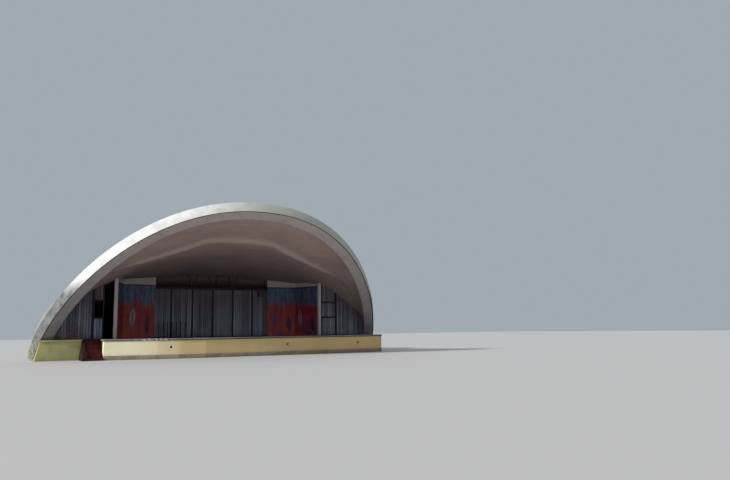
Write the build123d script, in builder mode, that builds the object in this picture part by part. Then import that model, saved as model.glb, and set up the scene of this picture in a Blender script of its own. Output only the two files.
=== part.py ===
"""Open-air band shell: a leaning concrete arch with a vault behind it, over a raised stage.

Millimetres. X runs along the front to the audience's right, Y runs away from the audience, Z is up.
The origin is on the ground, midway between the feet of the front arch.
"""
from dataclasses import dataclass
from math import asin, atan2, cos, degrees, hypot, radians, sin, tan
import os

from build123d import *

os.makedirs("parts", exist_ok=True)

# Front arch: its drip edge lies in a plane that leans towards the audience
RIM_LEAN = 40.0
RIM_HALF_SPAN = 11350.0
RIM_RISE = 11160.0
RIM_SHOULDER = 2.13
RIM_FALL = 0.657
RIM_FASCIA_OUT = 250.0
RIM_DEPTH = 610.0
RIM_BAND_WIDTH = 670.0
RIM_BAND_SETBACK = 170.0
RIM_DRIP_WIDTH = 50.0
RIM_DRIP_DEPTH = 35.0
RIM_SECTORS = (-90.0, -66.0, -40.0, -13.0, 13.0, 40.0, 66.0, 90.0)
RIM_NAMES = ("left_foot", "left_leg", "left_haunch", "crown", "right_haunch", "right_leg", "right_foot")
RIM_SECTION_STEP = 7.0
RIM_BELOW_GROUND = 900.0

# Vault: each ring is an arch line on its own leaning plane, from the rim to the rear wall
VAULT_INSET = 500.0
VAULT_THICKNESS_AT_RIM = 400.0
VAULT_THICKNESS = 180.0
VAULT_THICKNESS_AT_REAR = 160.0
LIP_FRONT_CROWN_Y = -3600.0
LIP_FRONT_CROWN_Z = 7170.0
LIP_FRONT_FOOT_STEP = 150.0
LIP_FRONT_SPAN_INSET = 100.0
LIP_FRONT_SHOULDER = 2.1
LIP_FRONT_FALL = 0.57
LIP_SWELL = 210.0
LIP_HALF_WIDTH = 7200.0
LIP_SAG = 480.0
LIP_LEVEL_HALF_WIDTH = 2200.0
LIP_SAG_WIDTH = 5600.0
LIP_CROWN_Y = -3500.0
LIP_CROWN_Z = 7130.0
LIP_FOOT_STEP = 300.0
LIP_SPAN_INSET = 50.0
LIP_SHOULDER = 2.1
LIP_FALL = 0.55
MIDDLE_CROWN_Y = -600.0
MIDDLE_CROWN_Z = 6360.0
MIDDLE_FOOT_STEP = 600.0
MIDDLE_SPAN_INSET = 50.0
MIDDLE_SHOULDER = 2.1
MIDDLE_FALL = 0.61
BACK_CROWN_Y = 2350.0
BACK_CROWN_Z = 5540.0
BACK_FOOT_STEP = 1100.0
BACK_SPAN_INSET = 200.0
BACK_SHOULDER = 3.4
BACK_FALL = 0.4
BACK_SAG = 300.0
REAR_Y = RIM_RISE * sin(radians(RIM_LEAN))
REAR_CROWN_Z = 4200.0
REAR_SPAN_INSET = 1650.0
REAR_SHOULDER = 2.5
REAR_FALL = 0.42
LIP_BEND = degrees(asin(LIP_LEVEL_HALF_WIDTH / RIM_HALF_SPAN))
VAULT_SECTORS = (-90.0, -55.0, -LIP_BEND, LIP_BEND, 55.0, 90.0)
VAULT_NAMES = ("left_side", "left", "crown", "right", "right_side")
SAMPLES_PER_SECTOR = 6

# Stage
DECK_HEIGHT = 1200.0
DECK_THICKNESS = 110.0
WALL_THICKNESS = 300.0
COPING_WIDTH = 240.0
COPING_OVERHANG = 40.0
PLINTH_HEIGHT = 250.0
PLINTH_PROJECTION = 20.0
PLATFORM_WIDTH = 2590.0
PLATFORM_FRONT_Y = -1120.0
ABUTMENT_THICKNESS = 350.0
STAIR_WIDTH = 890.0
STAIR_LEFT_X = PLATFORM_WIDTH - RIM_HALF_SPAN
APRON_LEFT_X = STAIR_LEFT_X + STAIR_WIDTH
APRON_LEFT_Y = -2750.0
APRON_RIGHT_INSET = 450.0
APRON_RIGHT_X = RIM_HALF_SPAN - APRON_RIGHT_INSET
APRON_RIGHT_Y = -2500.0
APRON_END_FACET = 800.0
FIRST_BEND_OFFSET = 2870.0
SECOND_BEND_OFFSET = 4170.0
THIRD_BEND_OFFSET = 5670.0
APRON_BENDS = (
    (APRON_LEFT_X + FIRST_BEND_OFFSET, -3350.0),
    (APRON_LEFT_X + SECOND_BEND_OFFSET, -3530.0),
    (APRON_LEFT_X + THIRD_BEND_OFFSET, -3620.0),
    (APRON_RIGHT_X - APRON_END_FACET, -2950.0),
)
DECK_RIM_INSET = 1000.0
REAR_WALL_THICKNESS = 250.0
SEAT_GAP = 2.0
VENT_RADIUS = 75.0
VENT_HEIGHT = 690.0
VENT_XS = (-4200.0, 3300.0, 8700.0)
VENT_BAY = 900.0

# Stair at the left end of the apron
STAIR_RISERS = 8
STAIR_TREAD = 250.0
CHEEK_TOP_THICKNESS = 100.0
CHEEK_BOTTOM_THICKNESS = 270.0
CHEEK_FRONT_RISERS = 1.5

# Painted screens, set in from the feet of the arch so that their heads stay under the ceiling
SCREEN_INNER_INSET = 7350.0
SCREEN_FOLD_INSET = 5230.0
SCREEN_POST_INSET = 4400.0
SCREEN_INNER_X = RIM_HALF_SPAN - SCREEN_INNER_INSET
SCREEN_INNER_Y = 2200.0
SCREEN_FOLD_X = RIM_HALF_SPAN - SCREEN_FOLD_INSET
SCREEN_FOLD_Y = 1900.0
SCREEN_POST_X = RIM_HALF_SPAN - SCREEN_POST_INSET
SCREEN_POST_Y = -480.0
SCREEN_POST_SIZE = 240.0
SCREEN_TOP = 5300.0
SCREEN_HEADER = 560.0
SCREEN_THICKNESS = 60.0
SCREEN_HEADER_THICKNESS = 120.0

# Walls behind the stage
BACK_WALL_Y = 2350.0
BACK_WALL_THICKNESS = 90.0
BACK_BAYS_EACH_SIDE = 3
BACK_WALL_LAP = 350.0
BACK_BAY = (SCREEN_INNER_X + BACK_WALL_LAP) / BACK_BAYS_EACH_SIDE
BACK_POST = 110.0
BACK_WALL_TOP = 4480.0
BACK_BEAM_HEIGHT = 150.0
STRUT_SPREAD = 300.0
STRUT_SIZE = 60.0
STRUT_BAYS = (-1, 0, 1)
WING_Y = -540.0
WING_THICKNESS = 90.0
WING_POST_OFFSET = 1290.0
WING_POST_X = SCREEN_POST_X + WING_POST_OFFSET
WING_POST_SIZE = 140.0
WING_POST_PROJECTION = 20.0
LINTEL_BOTTOM = 3500.0
MID_RAIL_BOTTOM = 2420.0
RAIL_THICKNESS = 90.0
PASSAGE_POST_OFFSET = 710.0
PASSAGE_POST_X = SCREEN_POST_X + PASSAGE_POST_OFFSET
PASSAGE_POST_SIZE = 70.0

# Loose stage pieces
BAR_COUNT = 7
BAR_SCREEN_GAP = 150.0
BAR_FIRST_X = BAR_SCREEN_GAP - SCREEN_INNER_X
BAR_PITCH = 290.0
BAR_HEIGHT = 1080.0
BAR_SIZE = 50.0
BAR_Y = 1650.0
SPEAKER_SIZE = 370.0
SPEAKER_DEPTH = 260.0
SPEAKER_SCREEN_GAP = 480.0
SPEAKER_X = SCREEN_INNER_X - SPEAKER_SCREEN_GAP
SPEAKER_Z = 4050.0
RAIL_STAIR_GAP = 170.0
RAIL_FINE_WIDTH = 450.0
RAIL_COARSE_WIDTH = 520.0
RAIL_Y = -1000.0
RAIL_HEIGHT = 790.0
RAIL_FOOT_GAP = 22.5
RAIL_BAR = 45.0
RAIL_COARSE_UPRIGHTS = 1
RAIL_FINE_UPRIGHTS = 4
RAIL_FINE_BAR = 25.0


def save(piece, name):
    """Label a finished piece and write it under its own name."""
    piece.part.label = name
    export_step(piece.part, f"parts/{name}.step")


# The leaning plane of the rim, and points set off from its drip edge
RIM_PLANE = Plane(
    origin=(0, 0, 0),
    x_dir=(1, 0, 0),
    z_dir=(0, -cos(radians(RIM_LEAN)), -sin(radians(RIM_LEAN))),
)
RIM_BACKWARD = RIM_PLANE.z_dir * -1


def arch_point(half_span, rise, shoulder, fall, angle):
    """Return (across, up) on an arch line, where the angle runs from -90 at one foot to 90 at the other."""
    share = abs(sin(radians(angle)))
    return half_span * sin(radians(angle)), rise * max(0.0, 1 - share**shoulder) ** fall


def arch_normal(half_span, rise, shoulder, fall, angle):
    """Return the outward normal of an arch line in its own plane."""
    if abs(angle) >= 90:
        return (1.0 if angle > 0 else -1.0), 0.0
    before = arch_point(half_span, rise, shoulder, fall, angle - 0.25)
    after = arch_point(half_span, rise, shoulder, fall, angle + 0.25)
    across = after[0] - before[0]
    up = after[1] - before[1]
    length = hypot(across, up)
    return -up / length, across / length


def rim_offset(angle, outward):
    """Return (across, up) in the rim's plane, set outward from the drip edge."""
    across, up = arch_point(RIM_HALF_SPAN, RIM_RISE, RIM_SHOULDER, RIM_FALL, angle)
    normal = arch_normal(RIM_HALF_SPAN, RIM_RISE, RIM_SHOULDER, RIM_FALL, angle)
    return across + outward * normal[0], up + outward * normal[1]


def rim_edge_x(height):
    """Return how far from the middle the drip edge stands at a height over the ground."""
    share_up = height / cos(radians(RIM_LEAN)) / RIM_RISE
    return RIM_HALF_SPAN * (1 - share_up ** (1 / RIM_FALL)) ** (1 / RIM_SHOULDER)


def rim_section_plane(angle, below=0.0):
    """Return the plane that cuts the rim square at an angle, or below its foot."""
    across, up = rim_offset(angle, 0)
    normal = arch_normal(RIM_HALF_SPAN, RIM_RISE, RIM_SHOULDER, RIM_FALL, angle)
    outward = RIM_PLANE.x_dir * normal[0] + RIM_PLANE.y_dir * normal[1]
    place = RIM_PLANE.from_local_coords(Vector(across, up - below, 0))
    return Plane(origin=place, x_dir=outward, z_dir=outward.cross(RIM_BACKWARD))


RIM_PROFILE = (
    (0.0, 0.0),
    (RIM_FASCIA_OUT, RIM_DEPTH),
    (-VAULT_INSET, RIM_DEPTH),
    (-RIM_BAND_WIDTH, RIM_BAND_SETBACK),
    (-RIM_DRIP_WIDTH, RIM_DRIP_DEPTH),
    (-RIM_DRIP_WIDTH, 0.0),
)


def rim_piece(start, end):
    """Build one length of the edge beam, and carry a foot straight down to the ground."""
    count = round((end - start) / RIM_SECTION_STEP)
    angles = [start + (end - start) * step / count for step in range(count + 1)]
    planes = [rim_section_plane(angle) for angle in angles]
    footings = [rim_section_plane(90 if end >= 90 else -90, RIM_BELOW_GROUND * step) for step in (0.5, 1)]
    if start <= -90:
        planes = footings[::-1] + planes
    if end >= 90:
        planes = planes + footings
    with BuildPart() as piece:
        for plane in planes:
            with BuildSketch(plane):
                with BuildLine():
                    Polyline(*RIM_PROFILE, close=True)
                make_face()
        loft()
        if abs(start) >= 90 or abs(end) >= 90:
            split(bisect_by=Plane.XY, keep=Keep.TOP)
    return piece


rim_pieces = {}
for name, start, end in zip(RIM_NAMES, RIM_SECTORS[:-1], RIM_SECTORS[1:]):
    rim_pieces[name] = rim_piece(start, end)
    save(rim_pieces[name], f"rim_{name}")


@dataclass(frozen=True)
class Ring:
    """An arch line of the vault: where its feet and crown stand, and how its curve falls."""

    foot_y: float
    crown_y: float
    crown_z: float
    half_span: float
    shoulder: float
    fall: float
    thickness: float
    swell: float = 0.0
    sag: float = 0.0

    @property
    def rise(self):
        """Height of the crown in the ring's own plane."""
        return hypot(self.foot_y - self.crown_y, self.crown_z)

    @property
    def plane(self):
        """The ring's plane, which leans about its line of feet."""
        lean = atan2(self.foot_y - self.crown_y, self.crown_z)
        return Plane(origin=(0, self.foot_y, 0), x_dir=(1, 0, 0), z_dir=(0, -cos(lean), -sin(lean)))

    def point(self, angle, outward=0.0):
        """Return (across, up) on the ring, set outward by a distance."""
        shape = (self.half_span, self.rise, self.shoulder, self.fall)
        across, up = arch_point(*shape, angle)
        normal = arch_normal(*shape, angle)
        reach = min(1.0, abs(across) / LIP_HALF_WIDTH)
        slope = min(1.0, max(0.0, abs(across) - LIP_LEVEL_HALF_WIDTH) / LIP_SAG_WIDTH)
        up += self.swell * (1 - reach**4) - self.sag * 4 * slope * (1 - slope)
        return across + outward * normal[0], up + outward * normal[1]


class RimRing:
    """The vault's first ring, which follows the rear face of the rim down to the ground."""

    thickness = VAULT_THICKNESS_AT_RIM
    plane = RIM_PLANE.offset(-RIM_DEPTH)

    def point(self, angle, outward=0.0):
        """Return (across, up) behind the rim, set outward from the vault's inner face."""
        across, up = rim_offset(angle, outward - VAULT_INSET)
        ground = -RIM_DEPTH * tan(radians(RIM_LEAN))
        return across, (ground if abs(angle) >= 90 else up)


RIM_FOOT_Y = RIM_DEPTH / cos(radians(RIM_LEAN))
rim_ring = RimRing()
lip_front_ring = Ring(
    foot_y=RIM_FOOT_Y + LIP_FRONT_FOOT_STEP,
    crown_y=LIP_FRONT_CROWN_Y,
    crown_z=LIP_FRONT_CROWN_Z,
    half_span=RIM_HALF_SPAN - LIP_FRONT_SPAN_INSET,
    shoulder=LIP_FRONT_SHOULDER,
    fall=LIP_FRONT_FALL,
    thickness=VAULT_THICKNESS,
    swell=LIP_SWELL,
    sag=LIP_SAG,
)
lip_ring = Ring(
    foot_y=RIM_FOOT_Y + LIP_FOOT_STEP,
    crown_y=LIP_CROWN_Y,
    crown_z=LIP_CROWN_Z,
    half_span=RIM_HALF_SPAN - LIP_SPAN_INSET,
    shoulder=LIP_SHOULDER,
    fall=LIP_FALL,
    thickness=VAULT_THICKNESS,
    sag=LIP_SAG,
)
middle_ring = Ring(
    foot_y=RIM_FOOT_Y + MIDDLE_FOOT_STEP,
    crown_y=MIDDLE_CROWN_Y,
    crown_z=MIDDLE_CROWN_Z,
    half_span=RIM_HALF_SPAN - MIDDLE_SPAN_INSET,
    shoulder=MIDDLE_SHOULDER,
    fall=MIDDLE_FALL,
    thickness=VAULT_THICKNESS,
)
back_ring = Ring(
    foot_y=RIM_FOOT_Y + BACK_FOOT_STEP,
    crown_y=BACK_CROWN_Y,
    crown_z=BACK_CROWN_Z,
    half_span=RIM_HALF_SPAN - BACK_SPAN_INSET,
    shoulder=BACK_SHOULDER,
    fall=BACK_FALL,
    thickness=VAULT_THICKNESS,
    sag=BACK_SAG,
)
rear_ring = Ring(
    foot_y=REAR_Y,
    crown_y=REAR_Y,
    crown_z=REAR_CROWN_Z,
    half_span=RIM_HALF_SPAN - REAR_SPAN_INSET,
    shoulder=REAR_SHOULDER,
    fall=REAR_FALL,
    thickness=VAULT_THICKNESS_AT_REAR,
)


def ring_line(ring, start, end, outward=0.0):
    """Return sample points along a ring between two angles."""
    steps = [start + (end - start) * step / SAMPLES_PER_SECTOR for step in range(SAMPLES_PER_SECTOR + 1)]
    return [ring.point(angle, outward) for angle in steps]


def vault_piece(rings, start, end):
    """Build one sector of the vault's skin through a run of rings."""
    with BuildPart() as piece:
        for ring in rings:
            with BuildSketch(ring.plane):
                with BuildLine():
                    inner = Spline(*ring_line(ring, start, end))
                    outer = Spline(*ring_line(ring, start, end, ring.thickness))
                    Line(inner @ 0, outer @ 0)
                    Line(inner @ 1, outer @ 1)
                make_face()
        loft(ruled=True)
    return piece


for name, start, end in zip(VAULT_NAMES, VAULT_SECTORS[:-1], VAULT_SECTORS[1:]):
    front_vault = vault_piece((rim_ring, lip_front_ring, lip_ring), start, end)
    save(front_vault, f"front_vault_{name}")
    rear_vault = vault_piece((lip_ring, middle_ring, back_ring, rear_ring), start, end)
    save(rear_vault, f"rear_vault_{name}")


# The space inside the vault, which trims every wall that rises to it
with BuildPart() as inside:
    for ring in (rim_ring, lip_front_ring, lip_ring, middle_ring, back_ring, rear_ring):
        with BuildSketch(ring.plane):
            with BuildLine():
                for start, end in zip(VAULT_SECTORS[:-1], VAULT_SECTORS[1:]):
                    Spline(*ring_line(ring, start, end, -SEAT_GAP))
                Line(ring.point(-90, -SEAT_GAP), ring.point(90, -SEAT_GAP))
            make_face()
    loft(ruled=True)


def trim(piece):
    """Return a copy of a piece with what lies outside the vault's inner face taken away."""
    with BuildPart() as trimmed:
        add(piece.part)
        add(inside.part, mode=Mode.INTERSECT)
    return trimmed


# Stage walls, cut from one outline, with two lengths that reach well past the whole shell
FAR_WIDTH = 4 * RIM_HALF_SPAN
FAR_FRONT = 2 * APRON_LEFT_Y
apron_outline = [(APRON_LEFT_X, APRON_LEFT_Y), *APRON_BENDS, (APRON_RIGHT_X, APRON_RIGHT_Y)]
WALL_TOP = DECK_HEIGHT - DECK_THICKNESS
APRON_BACK_Y = PLATFORM_FRONT_Y
FRONT_STRIP_BACK_Y = APRON_RIGHT_Y + WALL_THICKNESS


def apron_ring(outside, inside_by):
    """Draw the apron's outline as a band, from a distance outside it to a distance inside it."""
    outline = [(APRON_LEFT_X, APRON_BACK_Y), *apron_outline, (APRON_RIGHT_X, APRON_BACK_Y)]
    with BuildSketch() as band:
        Polygon(*outline, align=None)
        offset(amount=outside, kind=Kind.INTERSECTION)
        with BuildSketch(mode=Mode.PRIVATE) as hole:
            Polygon(*outline, align=None)
            offset(amount=-inside_by, kind=Kind.INTERSECTION)
        add(hole.sketch, mode=Mode.SUBTRACT)
        with Locations((0, APRON_BACK_Y)):
            Rectangle(FAR_WIDTH, 2 * WALL_THICKNESS, mode=Mode.SUBTRACT)
    return band


def band_piece(band, bottom, height, low_y, high_y):
    """Raise the part of a band that lies between two depths."""
    with BuildPart() as piece:
        with BuildSketch(Plane.XY.offset(bottom)):
            add(band.sketch)
            with Locations((0, (low_y + high_y) / 2)):
                Rectangle(FAR_WIDTH, high_y - low_y, mode=Mode.INTERSECT)
        extrude(amount=height)
    return piece


wall_band = apron_ring(0, WALL_THICKNESS)
plinth_band = apron_ring(PLINTH_PROJECTION, WALL_THICKNESS)
coping_band = apron_ring(COPING_OVERHANG, COPING_WIDTH - COPING_OVERHANG)

apron_wall = band_piece(wall_band, PLINTH_HEIGHT, WALL_TOP - PLINTH_HEIGHT, FAR_FRONT, FRONT_STRIP_BACK_Y)
with BuildSketch() as bays_in_plan:
    with Locations(*[(x, FAR_FRONT / 2) for x in VENT_XS]):
        Rectangle(VENT_BAY, -FAR_FRONT)

# The front wall is plain between its vent bays, each of which is pierced by one round vent
with BuildPart() as plain_lengths:
    add(apron_wall.part)
    extrude(bays_in_plan.sketch, amount=WALL_TOP, mode=Mode.SUBTRACT)
save(plain_lengths, "apron_front_wall")

with BuildPart() as vent_bays:
    add(apron_wall.part)
    extrude(bays_in_plan.sketch, amount=WALL_TOP, mode=Mode.INTERSECT)
    with BuildSketch(Plane.XZ.offset(-FAR_FRONT)):
        with Locations(*[(x, VENT_HEIGHT) for x in VENT_XS]):
            Circle(VENT_RADIUS)
    extrude(amount=FAR_FRONT - FRONT_STRIP_BACK_Y, mode=Mode.SUBTRACT)
save(vent_bays, "apron_vent_bays")
save(band_piece(plinth_band, 0, PLINTH_HEIGHT, FAR_FRONT, FRONT_STRIP_BACK_Y), "apron_plinth")
save(band_piece(coping_band, WALL_TOP, DECK_THICKNESS, FAR_FRONT, APRON_BACK_Y - WALL_THICKNESS), "apron_coping")

# The right end wall runs back until it meets the rim, and the left one stops at the stair head
with BuildPart() as left_return:
    with BuildSketch():
        with Locations((APRON_LEFT_X, FRONT_STRIP_BACK_Y)):
            Rectangle(WALL_THICKNESS, PLATFORM_FRONT_Y - FRONT_STRIP_BACK_Y, align=(Align.MIN, Align.MIN))
    extrude(amount=WALL_TOP)
save(left_return, "apron_left_return")

with BuildPart() as right_return:
    with BuildSketch():
        with Locations((APRON_RIGHT_X, FRONT_STRIP_BACK_Y)):
            Rectangle(WALL_THICKNESS, RIM_FOOT_Y - FRONT_STRIP_BACK_Y, align=(Align.MAX, Align.MIN))
    extrude(amount=WALL_TOP)
    add(rim_pieces["right_foot"].part, mode=Mode.SUBTRACT)
    split(bisect_by=RIM_PLANE, keep=Keep.TOP)
save(right_return, "apron_right_return")

# Raised platform left of the stair, whose wall meets the rim along its drip edge
PLATFORM_LEFT_X = -rim_edge_x(WALL_TOP)
DECK_CLEAR_X = RIM_HALF_SPAN - DECK_RIM_INSET
with BuildPart() as platform_wall:
    with BuildSketch(Plane.XZ.offset(-PLATFORM_FRONT_Y)):
        Polygon((-RIM_HALF_SPAN, 0), (STAIR_LEFT_X, 0), (STAIR_LEFT_X, WALL_TOP),
                (PLATFORM_LEFT_X, WALL_TOP), align=None)
    extrude(amount=-WALL_THICKNESS)
    with BuildSketch(Plane.XZ.offset(-PLATFORM_FRONT_Y)):
        Polygon((-RIM_HALF_SPAN, 0), (-RIM_HALF_SPAN + ABUTMENT_THICKNESS, 0),
                (PLATFORM_LEFT_X + ABUTMENT_THICKNESS, WALL_TOP), (PLATFORM_LEFT_X, WALL_TOP), align=None)
    extrude(amount=PLATFORM_FRONT_Y)
    add(rim_pieces["left_foot"].part, mode=Mode.SUBTRACT)
    split(bisect_by=RIM_PLANE, keep=Keep.TOP)
save(platform_wall, "platform_wall")

# Deck: one slab over the whole stage, notched round the feet of the rim
STAIR_HEAD_Y = PLATFORM_FRONT_Y + STAIR_TREAD
COPING_BACK_Y = APRON_BACK_Y - WALL_THICKNESS
REAR_WALL_FRONT_Y = REAR_Y - REAR_WALL_THICKNESS
with BuildPart() as deck:
    with BuildSketch(Plane.XY.offset(WALL_TOP)):
        with Locations((0, COPING_BACK_Y)):
            Rectangle(FAR_WIDTH, REAR_WALL_FRONT_Y - COPING_BACK_Y, align=(Align.CENTER, Align.MIN))
    extrude(amount=DECK_THICKNESS)
    add(inside.part, mode=Mode.INTERSECT)
    with BuildSketch(Plane.XY.offset(WALL_TOP)):
        Polygon((APRON_LEFT_X, COPING_BACK_Y), *apron_outline, (APRON_RIGHT_X, COPING_BACK_Y), align=None)
        offset(amount=COPING_OVERHANG - COPING_WIDTH, kind=Kind.INTERSECTION)
        with Locations((APRON_LEFT_X, COPING_BACK_Y)):
            Rectangle(APRON_RIGHT_X - APRON_LEFT_X, PLATFORM_FRONT_Y - COPING_BACK_Y,
                      align=(Align.MIN, Align.MIN))
        with Locations((APRON_LEFT_X + COPING_WIDTH - COPING_OVERHANG, COPING_BACK_Y)):
            Rectangle(APRON_RIGHT_X - APRON_LEFT_X - 2 * (COPING_WIDTH - COPING_OVERHANG), COPING_WIDTH,
                      align=(Align.MIN, Align.MAX))
        with Locations((APRON_LEFT_X, PLATFORM_FRONT_Y)):
            Rectangle(DECK_CLEAR_X - APRON_LEFT_X, STAIR_TREAD, align=(Align.MIN, Align.MIN))
        with Locations((0, STAIR_HEAD_Y)):
            Rectangle(2 * DECK_CLEAR_X, RIM_FOOT_Y - STAIR_HEAD_Y, align=(Align.CENTER, Align.MIN))
        with Locations((STAIR_LEFT_X, PLATFORM_FRONT_Y - COPING_OVERHANG)):
            Rectangle(STAIR_LEFT_X - PLATFORM_LEFT_X, STAIR_TREAD + COPING_OVERHANG,
                      align=(Align.MAX, Align.MIN))
    extrude(amount=DECK_THICKNESS)
    for name in ("left_foot", "right_foot"):
        add(rim_pieces[name].part, mode=Mode.SUBTRACT)
save(deck, "stage_deck")

# Stair and its battered side
STAIR_RISER = DECK_HEIGHT / STAIR_RISERS
STAIR_FOOT_Y = STAIR_HEAD_Y - STAIR_RISERS * STAIR_TREAD
step_line = [(STAIR_HEAD_Y, 0), (STAIR_FOOT_Y, 0)]
for step in range(STAIR_RISERS):
    step_line.append((STAIR_FOOT_Y + step * STAIR_TREAD, (step + 1) * STAIR_RISER))
    step_line.append((STAIR_FOOT_Y + (step + 1) * STAIR_TREAD, (step + 1) * STAIR_RISER))
with BuildPart() as stair:
    with BuildSketch(Plane.YZ.offset(STAIR_LEFT_X)):
        Polygon(*step_line, align=None)
    extrude(amount=APRON_LEFT_X - PLINTH_PROJECTION - STAIR_LEFT_X)
save(stair, "stair_flight")

with BuildPart() as cheek:
    with BuildSketch(Plane.XZ.offset(-PLATFORM_FRONT_Y)):
        Polygon((STAIR_LEFT_X, 0), (STAIR_LEFT_X, DECK_HEIGHT),
                (STAIR_LEFT_X - CHEEK_TOP_THICKNESS, DECK_HEIGHT),
                (STAIR_LEFT_X - CHEEK_BOTTOM_THICKNESS, 0), align=None)
    extrude(amount=PLATFORM_FRONT_Y - STAIR_FOOT_Y)
    with BuildSketch(Plane.YZ.offset(STAIR_LEFT_X - CHEEK_BOTTOM_THICKNESS)):
        Polygon((STAIR_FOOT_Y, 0), (STAIR_FOOT_Y, CHEEK_FRONT_RISERS * STAIR_RISER),
                (PLATFORM_FRONT_Y - COPING_OVERHANG, DECK_HEIGHT),
                (PLATFORM_FRONT_Y - COPING_OVERHANG, WALL_TOP), (PLATFORM_FRONT_Y, WALL_TOP),
                (PLATFORM_FRONT_Y, 0), align=None)
    extrude(amount=CHEEK_BOTTOM_THICKNESS, mode=Mode.INTERSECT)
save(cheek, "stair_cheek")


def block(low, high):
    """Make a plain block between two corners, at the origin's axes."""
    with BuildPart() as piece:
        with Locations(tuple((a + b) / 2 for a, b in zip(low, high))):
            Box(*(b - a for a, b in zip(low, high)))
    return piece


def gather(pieces):
    """Put separate blocks of one kind in one piece."""
    with BuildPart() as together:
        for piece in pieces:
            add(piece.part)
    return together


# Central back wall: posts at an even spacing, panels between them, a beam on top
bay_lines = [BACK_BAY * bay for bay in range(-BACK_BAYS_EACH_SIDE, BACK_BAYS_EACH_SIDE + 1)]
back_wall_back_y = BACK_WALL_Y + BACK_WALL_THICKNESS
save(gather([
    block((x - BACK_POST / 2, BACK_WALL_Y - BACK_POST + BACK_WALL_THICKNESS, DECK_HEIGHT),
          (x + BACK_POST / 2, back_wall_back_y, BACK_WALL_TOP))
    for x in bay_lines
]), "back_wall_posts")
save(gather([
    block((x + BACK_POST / 2, BACK_WALL_Y, DECK_HEIGHT),
          (x + BACK_BAY - BACK_POST / 2, back_wall_back_y, BACK_WALL_TOP))
    for x in bay_lines[:-1]
]), "back_wall_panels")
beam_half = bay_lines[-1] + BACK_POST / 2
BEAM_TOP = BACK_WALL_TOP + BACK_BEAM_HEIGHT
save(block((-beam_half, BACK_WALL_Y - BACK_POST + BACK_WALL_THICKNESS, BACK_WALL_TOP),
           (beam_half, back_wall_back_y, BEAM_TOP)), "back_wall_beam")

strut_y = BACK_WALL_Y + BACK_WALL_THICKNESS / 2
with BuildPart() as all_struts:
    for bay in STRUT_BAYS:
        for side in (-1, 1):
            with BuildSketch(Plane.XZ.offset(-strut_y + STRUT_SIZE / 2)):
                foot_x = BACK_BAY * bay + side * STRUT_SIZE
                head_x = foot_x + side * STRUT_SPREAD
                Polygon((foot_x, BEAM_TOP), (foot_x + side * STRUT_SIZE, BEAM_TOP),
                        (head_x + side * STRUT_SIZE, BACK_CROWN_Z), (head_x, BACK_CROWN_Z), align=None)
            extrude(amount=-STRUT_SIZE)
save(trim(all_struts), "clerestory_struts")

# Wing walls, one bay beside each screen and an outer panel out to the vault
wing_back_y = WING_Y + WING_THICKNESS
wing_top = SCREEN_TOP + SCREEN_HEADER
wing_post_front_y = WING_Y - WING_POST_PROJECTION
screen_edge_x = SCREEN_POST_X + SCREEN_POST_SIZE / 2
for side, name in ((-1, "left"), (1, "right")):
    xs = sorted((side * (WING_POST_X + WING_POST_SIZE / 2), side * RIM_HALF_SPAN))
    save(trim(block((xs[0], WING_Y, DECK_HEIGHT), (xs[1], wing_back_y, wing_top))), f"{name}_wing_wall")

posts = [
    block((side * WING_POST_X - WING_POST_SIZE / 2, wing_post_front_y, DECK_HEIGHT),
          (side * WING_POST_X + WING_POST_SIZE / 2, wing_back_y, wing_top))
    for side in (-1, 1)
]
posts.append(block((-PASSAGE_POST_X - PASSAGE_POST_SIZE / 2, wing_post_front_y, DECK_HEIGHT),
                   (-PASSAGE_POST_X + PASSAGE_POST_SIZE / 2, wing_back_y, wing_top)))
save(trim(gather(posts)), "wing_posts")

left_bay = (-WING_POST_X + WING_POST_SIZE / 2, -PASSAGE_POST_X - PASSAGE_POST_SIZE / 2)
right_bay = (screen_edge_x, WING_POST_X - WING_POST_SIZE / 2)
MID_RAIL_TOP = MID_RAIL_BOTTOM + RAIL_THICKNESS
LINTEL_TOP = LINTEL_BOTTOM + RAIL_THICKNESS
rails = [
    block((bay[0], wing_post_front_y, bottom), (bay[1], wing_back_y, bottom + RAIL_THICKNESS))
    for bay in (left_bay, right_bay)
    for bottom in (MID_RAIL_BOTTOM, LINTEL_BOTTOM)
]
save(gather(rails), "wing_rails")
infill = [
    block((bay[0], WING_Y, bottom), (bay[1], wing_back_y, top))
    for bay, bottom, top in (
        (left_bay, DECK_HEIGHT, MID_RAIL_BOTTOM),
        (left_bay, LINTEL_TOP, wing_top),
        (right_bay, DECK_HEIGHT, MID_RAIL_BOTTOM),
        (right_bay, MID_RAIL_TOP, LINTEL_BOTTOM),
        (right_bay, LINTEL_TOP, wing_top),
    )
]
save(trim(gather(infill)), "wing_bay_panels")


# Painted screens: two leaves with a fold, under a pale header, with a pale outer post
def screen_strip(side, thickness, behind):
    """Draw a screen's two leaves in plan, with its front set behind the fold line by a distance."""
    post_front_y = SCREEN_POST_Y + SCREEN_POST_SIZE / 2
    front = [(side * SCREEN_INNER_X, SCREEN_INNER_Y + behind), (side * SCREEN_FOLD_X, SCREEN_FOLD_Y + behind),
             (side * SCREEN_POST_X, post_front_y)]
    leaf_run = (SCREEN_POST_X - SCREEN_FOLD_X, SCREEN_FOLD_Y + behind - post_front_y)
    shift = side * thickness * hypot(*leaf_run) / leaf_run[1]
    back = [(side * SCREEN_POST_X + shift, post_front_y),
            (side * SCREEN_FOLD_X + shift, SCREEN_FOLD_Y + behind + thickness),
            (side * SCREEN_INNER_X, SCREEN_INNER_Y + behind + thickness)]
    return front + back


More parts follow.
